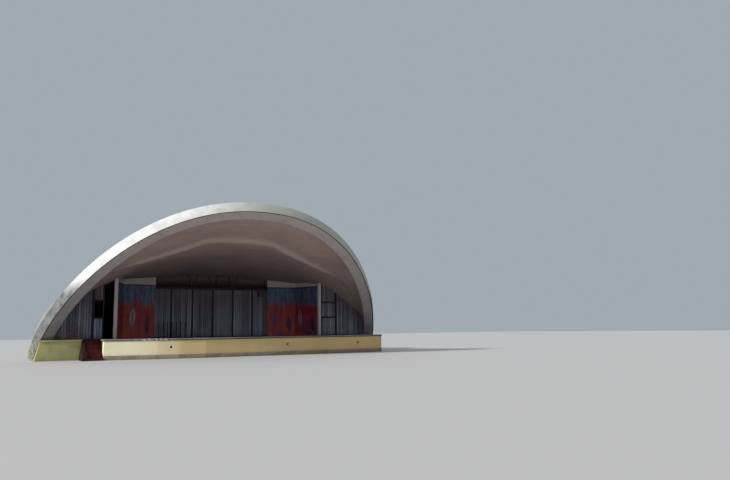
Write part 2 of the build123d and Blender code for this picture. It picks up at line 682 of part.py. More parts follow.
HEADER_BOTTOM = SCREEN_TOP - SCREEN_HEADER
HEADER_PROJECTION = (SCREEN_HEADER_THICKNESS - SCREEN_THICKNESS) / 2
for side, name in ((-1, "left"), (1, "right")):
    with BuildPart() as screen:
        with BuildSketch(Plane.XY.offset(DECK_HEIGHT)):
            Polygon(*screen_strip(side, SCREEN_THICKNESS, 0), align=None)
        extrude(amount=HEADER_BOTTOM - DECK_HEIGHT)
    save(screen, f"{name}_screen")
    with BuildPart() as header:
        with BuildSketch(Plane.XY.offset(HEADER_BOTTOM)):
            Polygon(*screen_strip(side, SCREEN_HEADER_THICKNESS, -HEADER_PROJECTION), align=None)
        extrude(amount=SCREEN_HEADER)
    save(trim(header), f"{name}_screen_header")
    half = SCREEN_POST_SIZE / 2
    save(trim(block((side * SCREEN_POST_X - half, SCREEN_POST_Y - half, DECK_HEIGHT),
                    (side * SCREEN_POST_X + half, SCREEN_POST_Y + half, wing_top))), f"{name}_screen_post")

# Rear wall
save(trim(block((-RIM_HALF_SPAN, REAR_WALL_FRONT_Y, 0), (RIM_HALF_SPAN, REAR_Y, REAR_CROWN_Z))), "rear_wall")

# Pieces that stand on the stage
save(gather([
    block((BAR_FIRST_X + BAR_PITCH * bar - BAR_SIZE / 2, BAR_Y - BAR_SIZE / 2, DECK_HEIGHT),
          (BAR_FIRST_X + BAR_PITCH * bar + BAR_SIZE / 2, BAR_Y + BAR_SIZE / 2, DECK_HEIGHT + BAR_HEIGHT))
    for bar in range(BAR_COUNT)
]), "stage_bars")
save(block((SPEAKER_X - SPEAKER_SIZE / 2, BACK_WALL_Y - SPEAKER_DEPTH, SPEAKER_Z),
           (SPEAKER_X + SPEAKER_SIZE / 2, BACK_WALL_Y, SPEAKER_Z + SPEAKER_SIZE)), "speaker_box")


# Guard rail on the platform: a coarse leaf of crossed bars beside a leaf of close uprights
RAIL_RIGHT_X = STAIR_LEFT_X - RAIL_STAIR_GAP
RAIL_SPLIT_X = RAIL_RIGHT_X - RAIL_FINE_WIDTH
RAIL_LEFT_X = RAIL_SPLIT_X - RAIL_COARSE_WIDTH


def upright(x, width, depth):
    """Make one upright of the guard rail."""
    return block((x - width / 2, RAIL_Y - depth / 2, DECK_HEIGHT),
                 (x + width / 2, RAIL_Y + depth / 2, DECK_HEIGHT + RAIL_HEIGHT - RAIL_BAR / 2))


rail_bars = [upright(x, RAIL_BAR, RAIL_BAR) for x in (RAIL_LEFT_X, RAIL_SPLIT_X, RAIL_RIGHT_X)]
for left, right, count, width in (
    (RAIL_LEFT_X, RAIL_SPLIT_X, RAIL_COARSE_UPRIGHTS, RAIL_BAR),
    (RAIL_SPLIT_X, RAIL_RIGHT_X, RAIL_FINE_UPRIGHTS, RAIL_FINE_BAR),
):
    for number in range(1, count + 1):
        rail_bars.append(upright(left + (right - left) * number / (count + 1), width, width))
rail_rows = [(RAIL_RIGHT_X, RAIL_FOOT_GAP + RAIL_BAR), (RAIL_SPLIT_X, RAIL_HEIGHT / 2), (RAIL_RIGHT_X, RAIL_HEIGHT)]
for right, height in rail_rows:
    rail_bars.append(block(
        (RAIL_LEFT_X - RAIL_BAR / 2, RAIL_Y - RAIL_BAR / 2, DECK_HEIGHT + height - RAIL_BAR),
        (right + RAIL_BAR / 2, RAIL_Y + RAIL_BAR / 2, DECK_HEIGHT + height),
    ))
save(gather(rail_bars), "guard_rail")
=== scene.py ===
"""Looks of the open-air band shell: a leaning concrete arch and vault over a raised stage.

Metres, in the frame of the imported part: X to the right as seen from the front, Y towards the back, Z up,
and the origin on the ground midway between the feet of the front arch.
"""

import logging
import random
from dataclasses import dataclass, field
from enum import Enum
from math import atan, atan2, cos, hypot, radians, sin, tan
from typing import Iterable, Mapping, Sequence, Union

import bmesh
import bpy
import numpy as np
from mathutils import Matrix, Vector
from mathutils.bvhtree import BVHTree


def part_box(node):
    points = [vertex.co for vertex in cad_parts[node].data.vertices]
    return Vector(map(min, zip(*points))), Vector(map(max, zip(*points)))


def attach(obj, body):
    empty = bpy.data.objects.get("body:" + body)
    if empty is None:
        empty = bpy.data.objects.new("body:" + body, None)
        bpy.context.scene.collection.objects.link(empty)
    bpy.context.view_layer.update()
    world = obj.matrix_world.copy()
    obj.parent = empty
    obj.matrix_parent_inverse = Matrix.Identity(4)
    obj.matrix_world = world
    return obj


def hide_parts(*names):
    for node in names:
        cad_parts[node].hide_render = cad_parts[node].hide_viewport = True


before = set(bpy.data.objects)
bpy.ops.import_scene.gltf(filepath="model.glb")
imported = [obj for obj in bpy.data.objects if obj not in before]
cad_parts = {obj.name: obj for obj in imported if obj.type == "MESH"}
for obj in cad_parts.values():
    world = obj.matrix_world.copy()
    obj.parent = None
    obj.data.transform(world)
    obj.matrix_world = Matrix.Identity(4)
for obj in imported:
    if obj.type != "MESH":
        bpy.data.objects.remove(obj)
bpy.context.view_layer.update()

logging.basicConfig(level=logging.INFO, format="%(name)s: %(message)s")
log = logging.getLogger("band_shell")

BODY = "root"
DULL = 0.2
COMMON_SHINE = 0.5
WELD = 0.0002
FLAT_BEND = radians(1.0)
FACES_FORWARD = -0.7
ARCH_ANGLES = np.arange(-90.0, 90.5, 1.0)

Colour = tuple[float, float, float]
Point = tuple[float, float, float]
Operand = Union["Expression", float]


class Expression:
    """One value in a material's node tree, used in Python sums as if it were a number."""

    def __init__(self, tree: bpy.types.NodeTree, socket: bpy.types.NodeSocket) -> None:
        """Wrap an output socket of a node in a tree."""
        self.tree = tree
        self.socket = socket

    def _math(self, operation: str, *values: Operand, clamp: bool = False) -> "Expression":
        """Add a Math node.

        Args:
            operation: The node's operation.
            values: What its sockets take, in order.
            clamp: Whether the result is kept between 0 and 1.

        Returns:
            The node's result.
        """
        node = self.tree.nodes.new("ShaderNodeMath")
        node.operation = operation
        node.use_clamp = clamp
        for socket, value in zip(node.inputs, values):
            if isinstance(value, Expression):
                self.tree.links.new(value.socket, socket)
            else:
                socket.default_value = value
        return Expression(self.tree, node.outputs[0])

    def __add__(self, other: Operand) -> "Expression":
        """Return self + other."""
        return self._math("ADD", self, other)

    __radd__ = __add__

    def __sub__(self, other: Operand) -> "Expression":
        """Return self - other."""
        return self._math("SUBTRACT", self, other)

    def __rsub__(self, other: Operand) -> "Expression":
        """Return other - self."""
        return self._math("SUBTRACT", other, self)

    def __mul__(self, other: Operand) -> "Expression":
        """Return self * other."""
        return self._math("MULTIPLY", self, other)

    __rmul__ = __mul__

    def __truediv__(self, other: Operand) -> "Expression":
        """Return self / other."""
        return self._math("DIVIDE", self, other)

    def __rtruediv__(self, other: Operand) -> "Expression":
        """Return other / self."""
        return self._math("DIVIDE", other, self)

    def __pow__(self, other: Operand) -> "Expression":
        """Return self ** other."""
        return self._math("POWER", self, other)

    def __rpow__(self, other: Operand) -> "Expression":
        """Return other ** self."""
        return self._math("POWER", other, self)

    def __abs__(self) -> "Expression":
        """Return the distance from zero."""
        return self._math("ABSOLUTE", self)

    def fit(self, low: float, high: float) -> "Expression":
        """Return 0 at low and 1 at high, clamped between them.

        Args:
            low: The value that gives 0.
            high: The value that gives 1, which may be less than low.

        Returns:
            The fitted value.
        """
        scale = 1 / (high - low)
        return self._math("MULTIPLY_ADD", self, scale, -low * scale, clamp=True)

    def wave(self) -> "Expression":
        """Return the sine."""
        return self._math("SINE", self)


class Nodes:
    """The node tree of a material or of the sky."""

    def __init__(self, tree: bpy.types.NodeTree) -> None:
        """Take the tree that the nodes go into."""
        self.tree = tree

    def node(
        self,
        kind: str,
        settings: Mapping[str, object] | None = None,
        inputs: Mapping[str | int, object] | None = None,
        output: str | int = 0,
    ) -> Expression:
        """Add any node that isn't a sum.

        Args:
            kind: The node's type, without the ShaderNode prefix.
            settings: Its attributes, which are set before its sockets are linked.
            inputs: Values or links of its sockets, by name or number.
            output: The socket that is returned.

        Returns:
            The chosen output.
        """
        node = self.tree.nodes.new("ShaderNode" + kind)
        for name, value in (settings or {}).items():
            setattr(node, name, value)
        for name, value in (inputs or {}).items():
            self.feed(node.inputs[name], value)
        return Expression(self.tree, node.outputs[output])

    def feed(self, socket: bpy.types.NodeSocket, value: object) -> None:
        """Link a socket to a value, or set it where the value is plain.

        Args:
            socket: The socket.
            value: An expression, a colour or a plain value.
        """
        if isinstance(value, Expression):
            self.tree.links.new(value.socket, socket)
        elif socket.type == "RGBA":
            socket.default_value = (*value, 1.0)
        else:
            socket.default_value = value

    def seen_directly(self) -> Expression:
        """Tell what the camera sees from other light.

        Returns:
            1 for what it sees, also in gloss and through glass, and 0 for other light.
        """
        rays = ("Is Camera Ray", "Is Glossy Ray", "Is Transmission Ray")
        camera, gloss, glass = [self.node("LightPath", output=ray) for ray in rays]
        return camera + gloss + glass


class Paint(Nodes):
    """The nodes of one material, from which a finish lays its colours over each other."""

    def __init__(self, name: str) -> None:
        """Start a material with one Principled shader.

        Args:
            name: The material's name.
        """
        self.material = bpy.data.materials.new(name)
        self.material.use_nodes = True
        super().__init__(self.material.node_tree)
        self.shader = self.tree.nodes["Principled BSDF"]
        self.colour: Expression | Colour = (0.8, 0.8, 0.8)

    def axes(self) -> list[Expression]:
        """Return X, Y and Z of the surface's place, in metres."""
        place = self.node("NewGeometry", output="Position")
        return [self.node("SeparateXYZ", inputs={0: place}, output=axis) for axis in range(3)]

    def trait(self, name: str) -> Expression:
        """Return a number stored on the mesh."""
        return self.node("Attribute", {"attribute_name": name}, output="Fac")

    def noise(
        self, scale: float, detail: float = 3.0, stretch: Point = (1.0, 1.0, 1.0), warp: float = 0.0
    ) -> Expression:
        """Return clouds of noise.

        Args:
            scale: Clouds in a metre.
            detail: How many finer octaves are laid over them.
            stretch: How much finer they are along each axis.
            warp: How far they are pulled about.

        Returns:
            The noise, about 0.5.
        """
        place = self.node("NewGeometry", output="Position")
        finer = tuple(scale * axis for axis in stretch)
        scaled = self.node("VectorMath", {"operation": "MULTIPLY"}, {0: place, 1: finer})
        inputs = {"Vector": scaled, "Scale": 1.0, "Detail": detail, "Distortion": warp}
        return self.node("TexNoise", inputs=inputs)

    def mix(self, share: Operand, first: object, second: object) -> Expression:
        """Mix two colours.

        Args:
            share: How much of the second is taken.
            first: A colour or a link.
            second: A colour or a link.

        Returns:
            The mixed colour.
        """
        settings = {"data_type": "RGBA", "clamp_factor": True}
        return self.node("Mix", settings, {0: share, 6: first, 7: second}, output=2)

    def lay(self, share: Operand, tint: object) -> None:
        """Lay a tint over the colour so far, where the share says."""
        self.colour = self.mix(share, self.colour, tint)

    def dress(
        self, roughness: Operand, relief: Expression | None = None, depth: float = 0.0, shine: float = DULL
    ) -> None:
        """Give the shader the colour so far, and the surface's feel.

        Args:
            roughness: How rough it is.
            relief: Its height, from about 0 to 1, where it isn't smooth.
            depth: How far a height of 1 stands out, in metres.
            shine: The level of its highlights.
        """
        values = {"Base Color": self.colour, "Roughness": roughness, "Specular IOR Level": shine}
        if relief is not None:
            values["Normal"] = self.node("Bump", inputs={"Distance": depth, "Height": relief})
        for name, value in values.items():
            self.feed(self.shader.inputs[name], value)


@dataclass(frozen=True)
class Finish:
    """A named finish, which is mixed once and then shared."""

    name: str

    def paint(self, paint: Paint) -> None:
        """Mix the finish, in each kind's own way."""
        raise NotImplementedError

    def material(self) -> bpy.types.Material:
        """Find the finish's material, or make it at its first use.

        Returns:
            The material.
        """
        name = f"{self.name}_finish"
        made = bpy.data.materials.get(name)
        if made is None:
            paint = Paint(name)
            self.paint(paint)
            made = paint.material
        return made


@dataclass(frozen=True)
class Masonry(Finish):
    """Concrete or render, painted or bare, with the marks of weather on it and, where a finish asks for it,
    painted shade.
    """

    colour: Colour
    faded: Colour
    dirt: Colour
    roughness: float = 0.85
    patches: float = 0.45
    streaks: float = 0.35
    splash: float = 0.0
    grain: float = 0.004
    grime: float = 0.5
    lichen: float = 0.0
    lichen_height: float = 2.4
    grey: Colour = (0.33, 0.34, 0.335)
    grey_from: float = 0.0
    grey_full: float = 0.0
    chips: float = 1.0
    washed: Colour = (0.33, 0.38, 0.34)
    painted_shade_share: float = 0.0
    painted_shade_from: float = -4.0
    painted_shade_full: float = 0.5

    def base(self, paint: Paint) -> Expression:
        """Return the paint before the weather."""
        clouds = paint.noise(self.patches, detail=5.0, warp=0.6).fit(0.36, 0.64)
        return paint.mix(clouds, self.colour, self.faded)

    def paint(self, paint: Paint) -> None:
        """Lay painted shade, patches, streaks, splashes and lichen over each other.

        Args:
            paint: The nodes that the finish is mixed in.
        """
        across, _, height = paint.axes()
        paint.colour = self.base(paint)
        # Painted shade, greying the finish towards the right.
        if self.painted_shade_share:
            shaded = across.fit(self.painted_shade_from, self.painted_shade_full) * self.painted_shade_share
            paint.lay(shaded, self.washed)
        grime = paint.noise(2.2, detail=6.0).fit(0.48, 0.78) * self.grime
        paint.lay(grime, self.dirt)
        runs = paint.noise(1.0, detail=4.0, stretch=(5.0, 5.0, 0.45)).fit(0.52, 0.80) * self.streaks
        paint.lay(runs, self.dirt)
        # Grey below a ragged height line, with dark flakes lower down; on the fascia it is partly weathering
        # and partly painted shade.
        if self.grey_from:
            worn = paint.noise(1.3, detail=5.0, stretch=(1.0, 1.0, 0.4)) * 1.6 - 0.8 + height
            tide = paint.noise(2.4, detail=6.0).fit(0.35, 0.65) * 0.2 + 0.8
            paint.lay(worn.fit(self.grey_from, self.grey_full) * tide, self.grey)
            flakes = paint.noise(6.5, detail=7.0, stretch=(1.0, 1.0, 0.6)).fit(0.57, 0.64)
            lower = worn.fit(self.grey_full, self.grey_full - 2.0) * self.chips
            paint.lay(lower * flakes * 0.6, (0.05, 0.05, 0.055))
        if self.splash:
            wet = height.fit(self.splash, 0.0) * paint.noise(1.6, detail=5.0).fit(0.25, 0.6)
            paint.lay(wet * 0.85, self.dirt)
        if self.lichen:
            low = height.fit(self.lichen_height, self.lichen_height * 0.35)
            spots = paint.noise(4.5, detail=7.0, warp=0.8).fit(0.50, 0.60)
            flakes = paint.noise(2.7, detail=6.0, warp=1.2).fit(0.53, 0.58)
            paint.lay(low * flakes * self.lichen, (0.16, 0.15, 0.14))
            paint.lay(low * spots * self.lichen, (0.36, 0.40, 0.12))
        speckle = paint.noise(38.0, detail=4.0)
        paint.lay(speckle.fit(0.3, 0.7) * 0.12, self.dirt)
        coarse = paint.noise(7.0, detail=6.0)
        paint.dress(self.roughness - grime * 0.15, speckle * 0.4 + coarse, self.grain)


@dataclass(frozen=True)
class ApronRender(Masonry):
    """Yellow render that turns from ochre at the right to cream at the left, partly by bleaching and partly
    as painted sunlight.
    """

    cream: Colour = (0.90, 0.86, 0.60)
    bleached_and_sunlit_to: float = -6.4
    ochre_from: float = -3.0

    def base(self, paint: Paint) -> Expression:
        """Return patchy ochre that turns to cream towards the left, partly bleached and partly painted
        sunlight.

        Args:
            paint: The nodes that the finish is mixed in.

        Returns:
            The colour before the weather.
        """
        across = paint.axes()[0]
        clouds = paint.noise(self.patches, detail=5.0, warp=0.6).fit(0.34, 0.66)
        ochre = paint.mix(clouds, self.colour, self.faded)
        # Cream towards the left: partly bleaching, partly painted sunlight.
        return paint.mix(across.fit(self.ochre_from, self.bleached_and_sunlit_to), ochre, self.cream)


@dataclass(frozen=True)
class CopingConcrete(Masonry):
    """Coping that is pale along its nose, with painted shadow under it and a crust of lime."""

    under: Colour = (0.025, 0.025, 0.025)
    nose: tuple[float, float] = (1.09, 1.16)
    crust_from: float = -6.4
    crust_to: float = -3.9
    crust_fade: float = 0.5

    def base(self, paint: Paint) -> Expression:
        """Return the pale nose over a painted shadow on its lower part, with the crust where water has run.

        Args:
            paint: The nodes that the finish is mixed in.

        Returns:
            The colour before the weather.
        """
        across, _, height = paint.axes()
        clouds = paint.noise(self.patches, detail=5.0, warp=0.6).fit(0.36, 0.64)
        pale = paint.mix(clouds, self.colour, self.faded)
        # Painted shadow on the lower part, below the pale nose.
        colour = paint.mix(height.fit(*self.nose), self.under, pale)
        inward = across.fit(self.crust_from, self.crust_from + self.crust_fade)
        wet = inward * across.fit(self.crust_to, self.crust_to - self.crust_fade)
        crust = paint.noise(8.0, detail=6.0).fit(0.50, 0.58) * wet
        return paint.mix(crust * 0.85, colour, (0.85, 0.85, 0.78))


@dataclass(frozen=True)
class Plaster(Finish):
    """The limewashed ceiling, with painted shade that darkens it towards the back wall."""

    colour: Colour
    dust: Colour
    front: float = -6.0
    back: float = 2.6
    lip_foot: float = 0.946
    lip_slope: float = 0.634

    def paint(self, paint: Paint) -> None:
        """Lay painted shade that deepens backwards over soft clouds, then a painted highlight along the lip,
        tide marks and damp.

        Args:
            paint: The nodes that the finish is mixed in.
        """
        _, depth, height = paint.axes()
        clouds = paint.noise(0.5, detail=4.0, stretch=(0.6, 1.4, 1.4), warp=0.5).fit(0.35, 0.65)
        paint.colour = paint.mix(clouds * 0.25, self.colour, self.dust)
        # Painted shade: darker towards the back wall.
        paint.lay(depth.fit(self.front, self.back) ** 0.7 * 0.85, self.dust)
        # A painted highlight along the fold of the lip.
        lip = depth + height * self.lip_slope - self.lip_foot
        lightened = lip.fit(-0.22, -0.02) * lip.fit(0.20, 0.02) * height.fit(4.6, 5.8)
        paint.lay(lightened * 0.35, (0.78, 0.70, 0.64))
        # The painted shade eases off behind the back wall.
        paint.lay(depth.fit(self.back, self.back + 0.6) * 0.35, self.colour)
        tide = 1.0 - abs(paint.noise(0.35, detail=5.0, warp=1.0) - 0.56).fit(0.0, 0.02)
        paint.lay(tide * 0.12, (0.16, 0.13, 0.11))
        damp = paint.noise(1.3, detail=6.0).fit(0.56, 0.75)
        paint.lay(damp * 0.15, (0.48, 0.42, 0.38))
        trowel = paint.noise(5.0, detail=6.0)
        paint.dress(0.9, trowel, 0.006)


@dataclass(frozen=True)
class BoardPaint(Finish):
    """Painted or stained upright boards, each of its own tone."""

    colour: Colour
    worn: Colour
    dirt: Colour = (0.06, 0.055, 0.05)
    roughness: float = 0.7
    darkening: float = 0.0

    def paint(self, paint: Paint) -> None:
        """Lay grain along the boards, lighter boards low down, painted shade above them under the vault and
        dirt at the foot.

        Args:
            paint: The nodes that the finish is mixed in.
        """
        across, _, height = paint.axes()
        tone = paint.trait("tone")
        grain = paint.noise(1.0, detail=5.0, stretch=(70.0, 70.0, 2.2), warp=0.4)
        paint.colour = paint.mix(tone * 0.75, self.colour, self.worn)
        paint.lay(grain.fit(0.45, 0.75) * 0.35, self.dirt)
        # Lighter boards low down.
        lightened = height.fit(3.4, 1.2) * paint.noise(1.4, detail=4.0).fit(0.4, 0.7)
        paint.lay(lightened * 0.35, self.worn)
        # Painted shade under the vault, reaching lower at the right-hand end.
        shaded_top = height + across.fit(9.0, 10.8) * 1.3 + paint.noise(0.8) * 0.8
        paint.lay(shaded_top.fit(2.6, 4.2) * self.darkening, (0.115, 0.082, 0.098))
        foot = height.fit(1.45, 1.2) * paint.noise(9.0, detail=4.0).fit(0.25, 0.6)
        paint.lay(foot * 0.7, self.dirt)
        paint.dress(self.roughness, grain, 0.0015)


@dataclass(frozen=True)
class Brick(Finish):
    """Dark fired brick, each with its own tone."""

    colour: Colour
    burnt: Colour

    def paint(self, paint: Paint) -> None:
        """Mix each brick between two tones, with soot and pale dust on its face.

        Args:
            paint: The nodes that the finish is mixed in.
        """
        tone = paint.trait("tone")
        darkening = paint.noise(11.0, detail=6.0).fit(0.45, 0.75)
        paint.colour = paint.mix(tone, self.colour, self.burnt)
        paint.lay(darkening * 0.5, (0.03, 0.02, 0.02))
        dust = paint.noise(60.0, detail=3.0).fit(0.55, 0.8)
        paint.lay(dust * 0.08, (0.30, 0.22, 0.20))
        paint.dress(0.88, paint.noise(45.0, detail=5.0), 0.003)


@dataclass(frozen=True)
class SteelPaint(Finish):
    """Brushed paint on steel, with rust where it has lifted."""

    colour: Colour
    rust: float = 0.2
    roughness: float = 0.5

    def paint(self, paint: Paint) -> None:
        """Lay brush marks and rust spots.

        Args:
            paint: The nodes that the finish is mixed in.
        """
        lifted = paint.noise(9.0, detail=7.0, warp=0.8).fit(0.66 - self.rust * 0.3, 0.72 - self.rust * 0.3)
        brushed = paint.noise(14.0, detail=4.0, stretch=(1.0, 1.0, 0.15)).fit(0.35, 0.7)
        lighter = tuple(min(1.0, level * 2.2 + 0.01) for level in self.colour)
        paint.colour = paint.mix(brushed * 0.3, self.colour, lighter)
        paint.lay(lifted * 0.85, (0.16, 0.055, 0.025))
        paint.dress(self.roughness + lifted * 0.3, lifted + brushed * 0.2, 0.001)


class Side(Enum):
    """The two sides of the stage, as seen from the front."""

    LEFT = -1
    RIGHT = 1

    @property
    def label(self) -> str:
        """Return the side as the nodes' names have it."""
        return self.name.lower()


@dataclass(frozen=True)
class Mural(Finish):
    """A made-up abstract painting: cool brush strokes over crimson over orange."""

    side: Side
    leaves: tuple[tuple[float, float, float, float, Colour], ...] = ()
    dusk: float = 0.0
    bottom: float = 1.2
    top: float = 4.74

    def paint(self, paint: Paint) -> None:
        """Lay the warm fields first, then stems and leaves, and the cool strokes over them.

        Args:
            paint: The nodes that the finish is mixed in.
        """
        across, depth, height = paint.axes()
        level = height.fit(self.bottom, self.top)
        along = across * float(self.side.value) - depth * 0.6
        drift = paint.noise(0.9, detail=3.0, stretch=(1.0, 1.0, 0.6)) - 0.5
        strokes = paint.noise(1.0, detail=2.0, stretch=(9.0, 9.0, 0.9), warp=0.6)
        edge = level + drift * 0.35
        paint.colour = paint.mix(edge.fit(0.06, 0.42), (0.44, 0.075, 0.012), (0.25, 0.007, 0.024))
        embers = paint.noise(1.7, detail=4.0, stretch=(1.4, 1.4, 0.7)).fit(0.52, 0.62)
        paint.lay(embers * 0.65 * edge.fit(0.75, 0.3), (0.44, 0.045, 0.012))
        dusk = edge.fit(0.42, 0.02) * paint.noise(0.7, detail=3.0).fit(0.42, 0.58) * self.dusk
        paint.lay(dusk, (0.07, 0.02, 0.16))
        arches = (along * 5.2).wave() * 0.16 + 0.30
        stems = (along * 10.4).wave().fit(0.75, 0.95) * (arches - level).fit(0.0, 0.05)
        paint.lay(stems * 0.45, (0.10, 0.02, 0.12))
        for place, foot, width, tall, leaf in self.leaves:
            centre = (level - foot - tall / 2) / (tall / 2)
            bend = along - place + centre * 0.05 + (strokes - 0.5) * 0.06
            inside = 1.0 - abs(bend) / width - centre * centre
            paint.lay(inside.fit(0.0, 0.10) * 0.85, leaf)
            ribs = (level * 95.0 + abs(bend) * 30.0).wave().fit(0.5, 0.9) * inside.fit(0.05, 0.2)
            midrib = abs(bend).fit(0.022, 0.012) * inside.fit(0.0, 0.1)
            paint.lay(ribs * 0.6 + midrib, DARK_LEAF)
        cool = paint.mix(strokes.fit(0.42, 0.58), (0.022, 0.040, 0.120), (0.050, 0.145, 0.180))
        violet = paint.noise(1.0, detail=2.0, stretch=(5.0, 5.0, 0.5), warp=0.3).fit(0.52, 0.60)
        cool = paint.mix(violet * 0.7, cool, (0.11, 0.04, 0.16))
        light = paint.noise(1.0, detail=3.0, stretch=(14.0, 14.0, 3.0), warp=0.9).fit(0.60, 0.68)
        cool = paint.mix(light * 0.7, cool, (0.22, 0.30, 0.36))
        ragged = level + (strokes - 0.5) * 0.55
        paint.lay(ragged.fit(0.60, 0.67), cool)
        dust = paint.noise(3.0, detail=5.0).fit(0.45, 0.8)
        paint.lay(dust * 0.12, (0.20, 0.17, 0.17))
        paint.lay(level.fit(0.975, 0.985), (0.006, 0.006, 0.012))
        brush = paint.noise(1.0, detail=4.0, stretch=(40.0, 40.0, 4.0))
        paint.dress(0.6, brush, 0.0012, COMMON_SHINE)


@dataclass(frozen=True)
class PlainCoat(Finish):
    """A small part's coat, with a little dust on it."""

    colour: Colour
    roughness: float = 0.5
    dust: float = 0.2

    def paint(self, paint: Paint) -> None:
        """Lay dust over one colour.

        Args:
            paint: The nodes that the finish is mixed in.
        """
        specks = paint.noise(24.0, detail=5.0)
        paint.colour = paint.mix(specks.fit(0.45, 0.8) * self.dust, self.colour, (0.30, 0.28, 0.26))
        paint.dress(self.roughness, specks, 0.0006, COMMON_SHINE)


# The fascia's grey low on its legs is partly weathering and partly painted shade; its grey-green towards the
# right is painted shade.
FASCIA = Masonry(
    "fascia_paint", (0.92, 0.93, 0.91), (0.86, 0.87, 0.86), (0.45, 0.46, 0.44),
    streaks=0.15, splash=0.5, lichen=0.7, lichen_height=1.8, grain=0.006,
    grey=(0.12, 0.125, 0.13), grey_from=4.7, grey_full=3.7, painted_shade_share=0.75,
)
# Its grey makes it darker towards the bottom.
BAND = Masonry(
    "band_paint", (0.68, 0.64, 0.625), (0.61, 0.58, 0.57), (0.38, 0.35, 0.345),
    streaks=0.25, lichen=0.35, lichen_height=1.9,
    grey=(0.26, 0.275, 0.30), grey_from=9.0, grey_full=2.0, chips=0.0,
)
# Near black on the drip's rebate: painted shadow in the recess.
DRIP_SHADOW = Masonry("drip_shadow", (0.05, 0.05, 0.05), (0.08, 0.08, 0.075), (0.02, 0.02, 0.02))
ROOF = Masonry(
    "roof_render", (0.46, 0.46, 0.44), (0.36, 0.37, 0.35), (0.17, 0.17, 0.155),
    streaks=0.6, splash=0.8, grain=0.008, lichen=0.4, lichen_height=1.2,
)
# Its second colour tints the clouds and is also the painted shade towards the back.
CEILING = Plaster("vault_plaster", (0.62, 0.515, 0.465), (0.145, 0.105, 0.12))
# Its cream at the left is partly bleaching and partly painted sunlight.
APRON = ApronRender(
    "yellow_render", (0.79, 0.63, 0.30), (0.71, 0.57, 0.28), (0.50, 0.40, 0.23),
    cream=(1.0, 0.97, 0.70), streaks=0.10, splash=0.40, grime=0.15,
)
MOSSY = Masonry(
    "mossy_render", (0.66, 0.61, 0.26), (0.50, 0.52, 0.24), (0.30, 0.30, 0.17), streaks=0.3, splash=0.75,
)
REAR = Masonry(
    "rear_render", (0.72, 0.61, 0.36), (0.64, 0.55, 0.34), (0.34, 0.30, 0.21), streaks=0.4, splash=0.9,
)
# Near black on the rear wall's forward faces: painted shade for the passage behind the stage.
BACKSTAGE_SHADE = Masonry("backstage_shade", (0.030, 0.028, 0.042), (0.022, 0.020, 0.032), (0.012, 0.011, 0.014))
COPING = CopingConcrete("coping_concrete", (0.33, 0.33, 0.325), (0.24, 0.24, 0.235), (0.12, 0.115, 0.11))
PLINTH = Masonry("plinth_render", (0.42, 0.37, 0.27), (0.35, 0.31, 0.23), (0.18, 0.15, 0.12), splash=0.25)
DECK = Masonry("deck_concrete", (0.085, 0.08, 0.085), (0.06, 0.056, 0.06), (0.03, 0.028, 0.028))
MORTAR = Masonry("mortar", (0.055, 0.018, 0.022), (0.04, 0.014, 0.018), (0.02, 0.012, 0.012))
CHEEK = Masonry("cheek_paint", (0.045, 0.017, 0.009), (0.03, 0.012, 0.007), (0.015, 0.008, 0.006))
MAROON = Masonry("maroon_paint", (0.11, 0.022, 0.028), (0.08, 0.018, 0.022), (0.03, 0.012, 0.014))
BRICK = Brick("red_brick", (0.135, 0.024, 0.032), (0.070, 0.013, 0.020))
# Their darkening is painted shade under the vault.
BOARDS = BoardPaint(
    "grey_boards", (0.095, 0.112, 0.150), (0.37, 0.42, 0.54), (0.055, 0.047, 0.060), darkening=0.65,
)
STEEL = SteelPaint("dark_steel", (0.009, 0.009, 0.014), rust=0.05)
RAIL_PAINT = SteelPaint("rail_paint", (0.16, 0.06, 0.085), rust=0.3)
HEADER_WHITE = BoardPaint("header_white", (0.40, 0.39, 0.385), (0.50, 0.49, 0.485), (0.20, 0.19, 0.18), 0.6)
POST_WHITE = BoardPaint("post_white", (0.50, 0.475, 0.53), (0.60, 0.58, 0.63), (0.25, 0.24, 0.24), 0.55)
CASE = PlainCoat("speaker_case", (0.004, 0.004, 0.006), dust=0.02)
GRILLE = PlainCoat("speaker_grille", (0.010, 0.010, 0.013), roughness=0.4, dust=0.03)
PALE_LEAF = (0.36, 0.28, 0.31)
DARK_LEAF = (0.03, 0.01, 0.03)
PLUM_LEAF = (0.13, 0.03, 0.13)
LEFT_MURAL = Mural(
    "left_mural", Side.LEFT, (
        (3.25, 0.08, 0.20, 0.36, DARK_LEAF), (4.30, 0.18, 0.22, 0.40, PALE_LEAF),
        (5.60, 0.05, 0.22, 0.34, PLUM_LEAF), (6.55, 0.16, 0.20, 0.36, PALE_LEAF),
    ), dusk=0.25,
)
RIGHT_MURAL = Mural(
    "right_mural", Side.RIGHT, (
        (3.30, 0.14, 0.20, 0.36, PLUM_LEAF), (4.45, 0.06, 0.22, 0.34, DARK_LEAF),
        (5.45, 0.16, 0.18, 0.40, PALE_LEAF), (6.60, 0.06, 0.22, 0.34, DARK_LEAF),
    ), dusk=0.85,
)
FLOOR_COLOUR = (0.60, 0.595, 0.59)
BOUNCE_COLOUR = (0.46, 0.41, 0.39)
SKY_COLOUR = (0.36, 0.40, 0.44)
SKY_LIGHT = (0.95, 0.97, 1.0)


def rectangle(low: Sequence[float], high: Sequence[float]) -> list[tuple[float, float]]:
    """Return the corners of a rectangle in plan."""
    return [(low[0], low[1]), (high[0], low[1]), (high[0], high[1]), (low[0], high[1])]


def square(x: float, y: float, half: float) -> list[tuple[float, float]]:
    """Return the corners of a square in plan, about its middle."""
    return rectangle((x - half, y - half), (x + half, y + half))


def add_object(name: str, data: bpy.types.ID) -> bpy.types.Object:
    """Add an object to the scene.

    Args:
        name: Its name.
        data: Its mesh, camera or lamp.

    Returns:
        The new object.
    """
    made = bpy.data.objects.new(name, data)
    bpy.context.scene.collection.objects.link(made)
    return made


